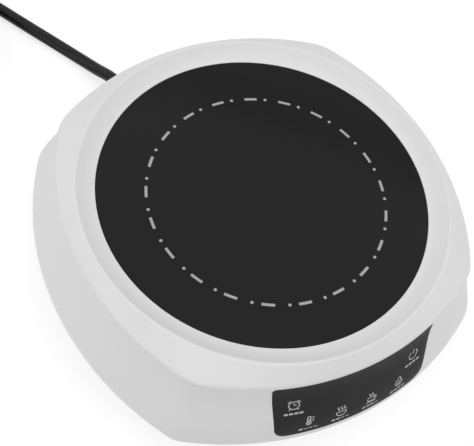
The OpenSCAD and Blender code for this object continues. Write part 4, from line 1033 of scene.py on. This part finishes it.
class HOTPLATE_OT_upper_shell(bpy.types.Operator):
    """Models the white upper shell: its walls, the slope to the crest and the dish"""

    bl_idname = "hot_plate.upper_shell"
    bl_label = "Upper shell"

    def execute(self, context):
        sizes = context.scene.plate_shell
        rings = (self.wall_rings(sizes) + self.slope_rings(sizes) + self.dish_rings(sizes)
                 + self.inner_rings(sizes))
        shell = skin("upper_shell", rings + rings[:1])
        carved(shell, self.key_tools(sizes))
        smooth(shell, degrees=32)
        dressed(shell, shell_white(), "shell_white", "upper_housing")
        return {"FINISHED"}

    def wall_rings(self, sizes):
        """The outside of the wall, from the seam's bevel up to the crease's rounding."""
        top = sizes.crease_z - sizes.crease_round
        foot = sizes.seam_z + sizes.seam_bevel
        return ([square_ring(sizes, sizes.body_half - sizes.seam_bevel, sizes.seam_z)]
                + [square_ring(sizes, wall_half(sizes, z), z) for z in spaced(foot, top, 28)])

    def slope_rings(self, sizes):
        """The slope from the crease, a rounded square, up to the crest, a circle."""
        rise = UPPER_HIGH.z - sizes.crease_z

        def slope(share, z, inset=0):
            return level(z, lambda a: outline(sizes, sizes.crease_half, sizes.crease_z, a)
                         * (1 - share) + sizes.crest_r * share - inset)

        first = sizes.crease_round / rise
        last = 1 - sizes.crest_round / rise
        rings = []
        for t in spaced(0, 1, 5, 1):
            share = t * t * first
            below = (1 - t) ** 2 * sizes.crease_round
            rings.append(slope(share, sizes.crease_z - below + share * rise))
        for share in spaced(first, last, 6, 1):
            rings.append(slope(share, sizes.crease_z + share * rise))
        peak = UPPER_HIGH.z + 0.25 * sizes.crest_round
        into = self.dish_height(sizes, sizes.crest_r - sizes.crest_round)
        for t in spaced(0, 1, 6, 1)[:-1]:
            share = last + (1 - last) * (1 - (1 - t) ** 2)
            z = ((1 - t) ** 2 * (sizes.crease_z + last * rise) + 2 * t * (1 - t) * peak
                 + t * t * into)
            rings.append(slope(share, z, t * t * sizes.crest_round))
        return rings

    def dish_height(self, sizes, r):
        share = max(r - sizes.recess_r, 0) / (sizes.crest_r - sizes.recess_r)
        return sizes.lip_z + (UPPER_HIGH.z - sizes.lip_z) * share ** sizes.dish_power

    def dish_rings(self, sizes):
        """The dish from the crest in to the glass, the recess and the ledge under the glass."""
        recess, ledge, under = sizes.recess_r, sizes.ledge_z, sizes.ledge_z - sizes.ledge_t
        # How far in millimetres the lip's rounding reaches outwards, and down
        lip = [(0.12, 0), (0.03, 0.05), (0, 0.2)]
        radii = spaced(sizes.crest_r - sizes.crest_round, recess + lip[0][0] * MM, 14)
        profile = [(r, self.dish_height(sizes, r)) for r in radii]
        profile += [(recess + out * MM, sizes.lip_z - down * MM) for out, down in lip[1:]]
        profile += [(recess, ledge), (sizes.ledge_r, ledge), (sizes.ledge_r, under),
                    (recess + sizes.wall, under)]
        return [round_ring(r, z) for r, z in profile]

    def inner_rings(self, sizes):
        """Underside of the dish and of the slope, and the inside of the wall, to the seam."""
        dish_t, fillet = 1.3 * sizes.wall, 0.6 * MM
        radii = spaced(sizes.recess_r + sizes.wall + fillet, sizes.crest_r - sizes.crest_round, 3)
        top = sizes.crease_z - 0.5 * sizes.wall
        return ([round_ring(r, self.dish_height(sizes, r) - dish_t) for r in radii]
                + [square_ring(sizes, wall_half(sizes, z) - sizes.wall, z)
                   for z in spaced(top, sizes.seam_z, 8)])

    def key_tools(self, sizes):
        """Rods through the front wall, one at each key and square to the control board."""
        outwards, inwards = 14 * MM, 6 * MM
        tools = []
        for node in KEY_NODES:
            low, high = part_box(node)
            joint_name = node[len("key_"):] + "_key_press"
            joint = next(row for row in frame["joints"] if row["name"] == joint_name)
            way = Vector(joint["axis"])
            middle = (low + high) / 2
            tools.append(rod("key_tool", sizes.key_hole_r, middle - outwards * way,
                             middle + inwards * way))
        return joined("key_tools", tools)


class HOTPLATE_OT_lower_shell(bpy.types.Operator):
    """Models the white lower shell with its vents, its fan slots and the cord's way out"""

    bl_idname = "hot_plate.lower_shell"
    bl_label = "Lower shell"

    def execute(self, context):
        sizes, cord = context.scene.plate_shell, context.scene.plate_cord
        shell = skin("lower_shell", self.rings(sizes))
        half_w = cord.outlet_w / 2
        outlet = block("outlet",
                       (cord.exit_x - half_w, cord.face_y - cord.outlet_t, LOWER_LOW.z),
                       (cord.exit_x + half_w, cord.face_y, cord.outlet_top), bevel=1 * MM)
        carved(shell, outlet, "UNION")
        carved(shell, self.tools(sizes, cord))
        smooth(shell, degrees=32)
        dressed(shell, shell_white(), "shell_white", "lower_housing")
        return {"FINISHED"}

    def rings(self, sizes):
        """From the middle of the bottom out, up the wall, over the tongue and along the floor."""
        foot, top, bevel = LOWER_LOW.z, sizes.seam_z, sizes.tray_bevel
        flat_r = 40 * MM

        def wall_line(z):
            share = (z - foot) / (top - foot)
            return (sizes.tray_half + (sizes.body_half - sizes.tray_half) * share
                    + sizes.tray_bulge * 4 * share * (1 - share))

        def square(half, z):
            return level(z, lambda a: outline(sizes, half, top, a))

        rings = [round_ring(0, foot), round_ring(flat_r, foot)]
        for a in quarter(5):
            rings.append(square(wall_line(foot + bevel) - bevel * (1 - math.sin(a)),
                                foot + bevel * (1 - math.cos(a))))
        for z in spaced(foot + bevel, top - sizes.seam_bevel, 10, 1):
            rings.append(square(wall_line(z), z))
        outer = sizes.body_half - sizes.tongue_in
        inner = outer - sizes.tongue_t
        high, low = top + sizes.tongue_h, top - sizes.tongue_h
        rings += [square(sizes.body_half - sizes.seam_bevel, top), square(outer, top),
                  square(outer, high), square(inner, high), square(inner, low)]
        wall = sizes.wall + 0.4 * MM
        for share in (0.8, 0.4, 0):
            z = sizes.floor_z + (low - sizes.floor_z) * share
            rings.append(square(wall_line(z) - wall, z))
        return rings + [round_ring(flat_r, sizes.floor_z), round_ring(0, sizes.floor_z)]

    def tools(self, sizes, cord):
        """Everything that is cut out of the lower shell, as one cutting tool."""
        tools = []
        deep, clear = 6 * MM, 4 * MM
        half_w, z = sizes.vent_w / 2, sizes.vent_z
        for side in (-1, 1):
            near, far = sorted((side * (sizes.tray_half - deep), side * (sizes.body_half + clear)))
            for i in range(-4, 5):
                y = i * sizes.vent_pitch
                tools.append(block("vent_tool", (near, y - half_w, z),
                                   (far, y + half_w, z + sizes.vent_h), bevel=0.6 * MM, segments=2))
        fan_x, fan_y = (FAN_LOW.x + FAN_HIGH.x) / 2, (FAN_LOW.y + FAN_HIGH.y) / 2
        half_w = sizes.slot_w / 2
        for i in range(-2, 3):
            x = fan_x + i * sizes.slot_pitch
            reach = math.sqrt(sizes.slot_reach ** 2 - (i * sizes.slot_pitch) ** 2)
            tools.append(block("slot_tool", (x - half_w, fan_y - reach, 0),
                               (x + half_w, fan_y + reach, sizes.floor_z + clear), bevel=1.2 * MM))
        head_z = 15 * MM
        for x, y in corner_places(sizes.screw_place):
            tools.append(rod("screw_tool", sizes.screw_hole_r, (x, y, 0), (x, y, head_z)))
        inside, outside = cord.face_y - 20 * MM, cord.face_y + 5 * MM
        tools.append(rod("cord_tool", cord.relief_hole_r, (cord.exit_x, inside, cord.exit_z),
                         (cord.exit_x, outside, cord.exit_z)))
        return joined("shell_tools", tools)


class HOTPLATE_OT_glass(bpy.types.Operator):
    """Turns the black glass plate with its ground rim"""

    bl_idname = "hot_plate.glass"
    bl_label = "Glass plate"

    def execute(self, context):
        edge, radius = context.scene.plate_shell.glass_edge, GLASS_HIGH.x
        profile = [(radius - edge, GLASS_LOW.z), (radius, GLASS_LOW.z + edge),
                   (radius, GLASS_HIGH.z - edge)]
        profile += [(radius - edge * (1 - math.cos(a)), GLASS_HIGH.z - edge * (1 - math.sin(a)))
                    for a in quarter(4, 1)]
        glass = smooth(turned("glass_top", profile, sides=240), degrees=30)
        dressed(glass, black_glass(), "black_glass", "glass_plate")
        return {"FINISHED"}


class HOTPLATE_OT_ring_print(bpy.types.Operator):
    """Prints the ring of dashes and dots on the glass"""

    bl_idname = "hot_plate.ring_print"
    bl_label = "Ring print"

    def execute(self, context):
        marks = context.scene.plate_print

        def on_glass(x, y, lift):
            return Vector((marks.ring_x + x, marks.ring_y + y, GLASS_HIGH.z + lift))

        pieces = []
        step = 360 / marks.ring_marks
        to_dot = 0.43 * step
        reach = math.degrees(marks.dash_l / marks.ring_r) / 2
        for i in range(marks.ring_marks):
            middle = math.degrees(marks.ring_start) - i * step
            line = arc(0, 0, marks.ring_r, middle - reach, middle + reach, 6)
            pieces.append(stroke("dash", on_glass, marks, line, marks.dash_w))
            a = math.radians(middle - to_dot)
            pieces.append(dot("dot", on_glass, marks, marks.ring_r * math.cos(a),
                              marks.ring_r * math.sin(a), marks.dot_r))
        ring = joined("glass_marks", pieces)
        dressed(ring, print_ink("ring_grey", finishes().ring_print), "black_glass")
        return {"FINISHED"}


class HOTPLATE_OT_panel_film(bpy.types.Operator):
    """Lays the black film on the front wall"""

    bl_idname = "hot_plate.panel_film"
    bl_label = "Panel film"

    def execute(self, context):
        sizes = context.scene.plate_shell
        edge = self.edge(sizes)
        middle = (FILM_LOW.z + FILM_HIGH.z) / 2

        def ring(share, lift):
            return [front_place(sizes, x * share, middle + (z - middle) * share, lift)
                    for x, z in edge]

        rows, back, front = 10, -0.25 * MM, sizes.film_proud
        shares = spaced(0, 1, rows)
        rings = [ring(share, back) for share in shares]
        rings += [ring(1, 0.6 * front), ring(0.997, front)]
        rings += [ring(share, front) for share in reversed(shares[:-1])]
        film = smooth(skin("control_film", rings), degrees=30)
        dressed(film, panel_black(), "panel_black", "panel_film")
        return {"FINISHED"}

    def edge(self, sizes):
        """The film's outline across the wall, from its lower right corner round to the left."""
        b, t = sizes.film_bottom_r, sizes.film_top_r
        low, high = FILM_LOW.z + b, FILM_HIGH.z - t
        bottom, top = sizes.film_bottom_half - b, sizes.film_top_half - t
        bends = [arc(bottom, low, b, -90, 0, 10), arc(top, high, t, 0, 90, 8),
                 arc(-top, high, t, 90, 180, 8), arc(-bottom, low, b, 180, 270, 10)]
        edge = []
        for bend, following, steps in zip(bends, bends[1:] + bends[:1], (10, 30, 10, 30)):
            edge += bend + line_between(bend[-1], following[0], steps)
        return edge


class HOTPLATE_OT_panel_print(bpy.types.Operator):
    """Prints plain icons and level bars on the film, one set at each key"""

    bl_idname = "hot_plate.panel_print"
    bl_label = "Panel print"

    def execute(self, context):
        marks, sizes = context.scene.plate_print, context.scene.plate_shell
        icons = [self.clock, self.thermometer, self.bowl, self.cup, self.flame, self.power]
        pieces = []
        for mode, (node, icon) in enumerate(zip(KEY_NODES, icons)):
            low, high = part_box(node)
            is_mode = "mode" in node
            x, z = (low.x + high.x) / 2, marks.mode_z if is_mode else marks.outer_z

            def on_film(u, v, lift):
                return front_place(sizes, x + u, z + v, sizes.film_proud + lift)

            for lines, closed in zip(icon(), (True, False)):
                for line in lines:
                    scaled = [(u * MM, v * MM) for u, v in line]
                    pieces.append(stroke("icon_line", on_film, marks, scaled, marks.line_w, closed))
            pieces += self.level_bars(on_film, marks, mode if is_mode else None)
        prints = joined("panel_marks", pieces)
        dressed(prints, print_ink("icon_grey", finishes().icon_print), "panel_black")
        return {"FINISHED"}

    def level_bars(self, surface, marks, mode):
        """A row of short bars below an icon; a mode's own number of them is full height."""
        count, low_share = 4, 0.45
        width = (marks.bar_w - (count - 1) * marks.bar_gap) / count
        v = -marks.bar_drop
        bars = []
        for i in range(count):
            u = -marks.bar_w / 2 + i * (width + marks.bar_gap)
            full = mode is None or i < mode
            height = marks.bar_h if full else low_share * marks.bar_h
            bars.append(stroke("level_bar", surface, marks, [(u, v), (u + width, v)], height))
        return bars

    # Each icon gives its closed loops and its open lines, in millimetres from its middle

    def clock(self):
        return [arc(0, -0.2, 2.3, 0, 345, 23)], [
            [(0, 1.1), (0, -0.2), (1.1, -0.2)], [(-2.7, 1.5), (-1.4, 2.7)],
            [(2.7, 1.5), (1.4, 2.7)], [(-1.5, -2.1), (-2.1, -2.9)], [(1.5, -2.1), (2.1, -2.9)]]

    def power(self):
        return [], [arc(0, -0.3, 2.4, 125, 415, 24), [(0, 0.2), (0, 2.7)]]

    def thermometer(self):
        tube = [(-0.7, -0.75)] + arc(0, 1.9, 0.7, 180, 0, 8) + [(0.7, -0.75)]
        return [arc(0, -1.6, 0.4, 0, 330, 11)], [
            tube, arc(0, -1.6, 1.1, 50, -230, 16), [(0, -1.4), (0, 1.0)],
            [(1.5, 1.9), (2.4, 1.9)], [(1.5, 0.8), (2.1, 0.8)], [(1.5, -0.3), (2.4, -0.3)]]

    def wave(self, u, low, high, lean=0.45, steps=10):
        return [(u + lean * math.sin(2 * math.pi * i / steps), v)
                for i, v in enumerate(spaced(low, high, steps))]

    def bowl(self):
        steam = [self.wave(u, 0.4, 2.8) for u in (-1.5, 0, 1.5)]
        return [arc(0, -0.5, 2.5, 180, 360, 16)], [[(-1.0, -3.1), (1.0, -3.1)]] + steam

    def cup(self):
        side = ([(-1.9, 0.4), (-1.9, -1.0)] + arc(-0.9, -1.0, 1.0, 180, 270, 5)
                + arc(0.7, -1.0, 1.0, 270, 360, 5) + [(1.7, 0.4)])
        steam = [self.wave(u, 1.0, 2.8) for u in (-0.8, 0.6)]
        handle = arc(1.7, -0.4, 0.8, 80, -80, 8)
        return [side], [handle, [(-2.5, -2.7), (2.5, -2.7)]] + steam

    def flame(self):
        outer = [(0.2, 2.9), (-0.5, 1.9), (-1.5, 0.7), (-1.9, -0.6), (-1.5, -1.9), (-0.5, -2.7),
                 (0.6, -2.7), (1.6, -1.9), (1.9, -0.7), (1.6, 0.5), (1.1, 0.1), (1.0, 1.2),
                 (0.7, 2.1)]
        inner = [(0, 0.3), (-0.7, -0.8), (-0.6, -1.6), (0, -2.0), (0.7, -1.6), (0.7, -0.8)]
        return [outer, inner], []


class HOTPLATE_OT_feet(bpy.types.Operator):
    """Turns the four rubber feet"""

    bl_idname = "hot_plate.feet"
    bl_label = "Rubber feet"

    def execute(self, context):
        sizes = context.scene.plate_shell
        r, low, bevel = sizes.foot_r, FOOT_LOW.z, 1.4 * MM
        # How far in millimetres the hollow under a foot lies inside its edge, and how deep
        hollow = [(3.2, 0.5), (2.4, 0.1), (1.6, 0)]
        profile = [(r - inset * MM, low + deep * MM) for inset, deep in hollow]
        profile += [(r - bevel * (1 - math.sin(a)), low + bevel * (1 - math.cos(a)))
                    for a in quarter(5)]
        profile.append((r, FOOT_HIGH.z))
        first = turned("foot", profile, sides=56)
        feet = []
        for x, y in corner_places(sizes.foot_place):
            pick(first)
            bpy.ops.object.duplicate()
            feet.append(placed(bpy.context.object, Matrix.Translation((x, y, 0))))
        bpy.data.objects.remove(first)
        feet = smooth(joined("feet", feet))
        dressed(feet, rubber("foot_rubber", finishes().rubber), "foot_rubber", "rubber_feet")
        return {"FINISHED"}


class HOTPLATE_OT_inner_pieces(bpy.types.Operator):
    """Gives every piece inside the body its finish"""

    bl_idname = "hot_plate.inner_pieces"
    bl_label = "Inner pieces"

    def execute(self, context):
        slots = {material["slot"] for material in frame["record"]["materials"]}
        for node in frame["nodes"].values():
            if node.hide_render:
                continue
            for place in node.material_slots:
                slot = place.material.name.split(".")[0]
                if slot not in slots:
                    raise RuntimeError(f"{node.name} has a material not in the record: {slot}")
                place.link = "OBJECT"
                place.material = inner_finish(slot)
        return {"FINISHED"}


class HOTPLATE_PT_pieces(bpy.types.Panel):
    """Lists the hot plate's pieces and sizes in the sidebar"""

    bl_idname = "HOTPLATE_PT_pieces"
    bl_label = "Hot plate"
    bl_space_type = "VIEW_3D"
    bl_region_type = "UI"
    bl_category = "Hot plate"

    def draw(self, context):
        for operator in OPERATORS:
            self.layout.operator(operator.bl_idname)
        for group in GROUPS:
            sizes = getattr(context.scene, group)
            box = self.layout.box()
            for name in sizes.bl_rna.properties.keys():
                if name not in ("rna_type", "name"):
                    box.prop(sizes, name)


OPERATORS = [HOTPLATE_OT_stage, HOTPLATE_OT_strain_relief, HOTPLATE_OT_cord_tie, HOTPLATE_OT_plug,
             HOTPLATE_OT_power_cord, HOTPLATE_OT_upper_shell, HOTPLATE_OT_lower_shell,
             HOTPLATE_OT_glass, HOTPLATE_OT_ring_print, HOTPLATE_OT_panel_film,
             HOTPLATE_OT_panel_print, HOTPLATE_OT_feet, HOTPLATE_OT_inner_pieces]
GROUPS = {"plate_shell": ShellSizes, "plate_print": PrintSizes, "plate_cord": CordSizes,
          "plate_finishes": Finishes, "plate_stage": StageSizes}


def register():
    for kind in [*GROUPS.values(), *OPERATORS, HOTPLATE_PT_pieces]:
        bpy.utils.register_class(kind)
    for name, kind in GROUPS.items():
        setattr(bpy.types.Scene, name, PointerProperty(type=kind))


def unregister():
    for name in GROUPS:
        delattr(bpy.types.Scene, name)
    for kind in reversed([*GROUPS.values(), *OPERATORS, HOTPLATE_PT_pieces]):
        bpy.utils.unregister_class(kind)


def main():
    register()
    bpy.ops.hot_plate.stage()
    bpy.ops.hot_plate.strain_relief()
    bpy.ops.hot_plate.cord_tie()
    bpy.ops.hot_plate.plug()
    bpy.ops.hot_plate.power_cord()
    bpy.ops.hot_plate.upper_shell()
    bpy.ops.hot_plate.lower_shell()
    bpy.ops.hot_plate.glass()
    bpy.ops.hot_plate.ring_print()
    bpy.ops.hot_plate.panel_film()
    bpy.ops.hot_plate.panel_print()
    bpy.ops.hot_plate.feet()
    bpy.ops.hot_plate.inner_pieces()


if __name__ == "__main__":
    main()
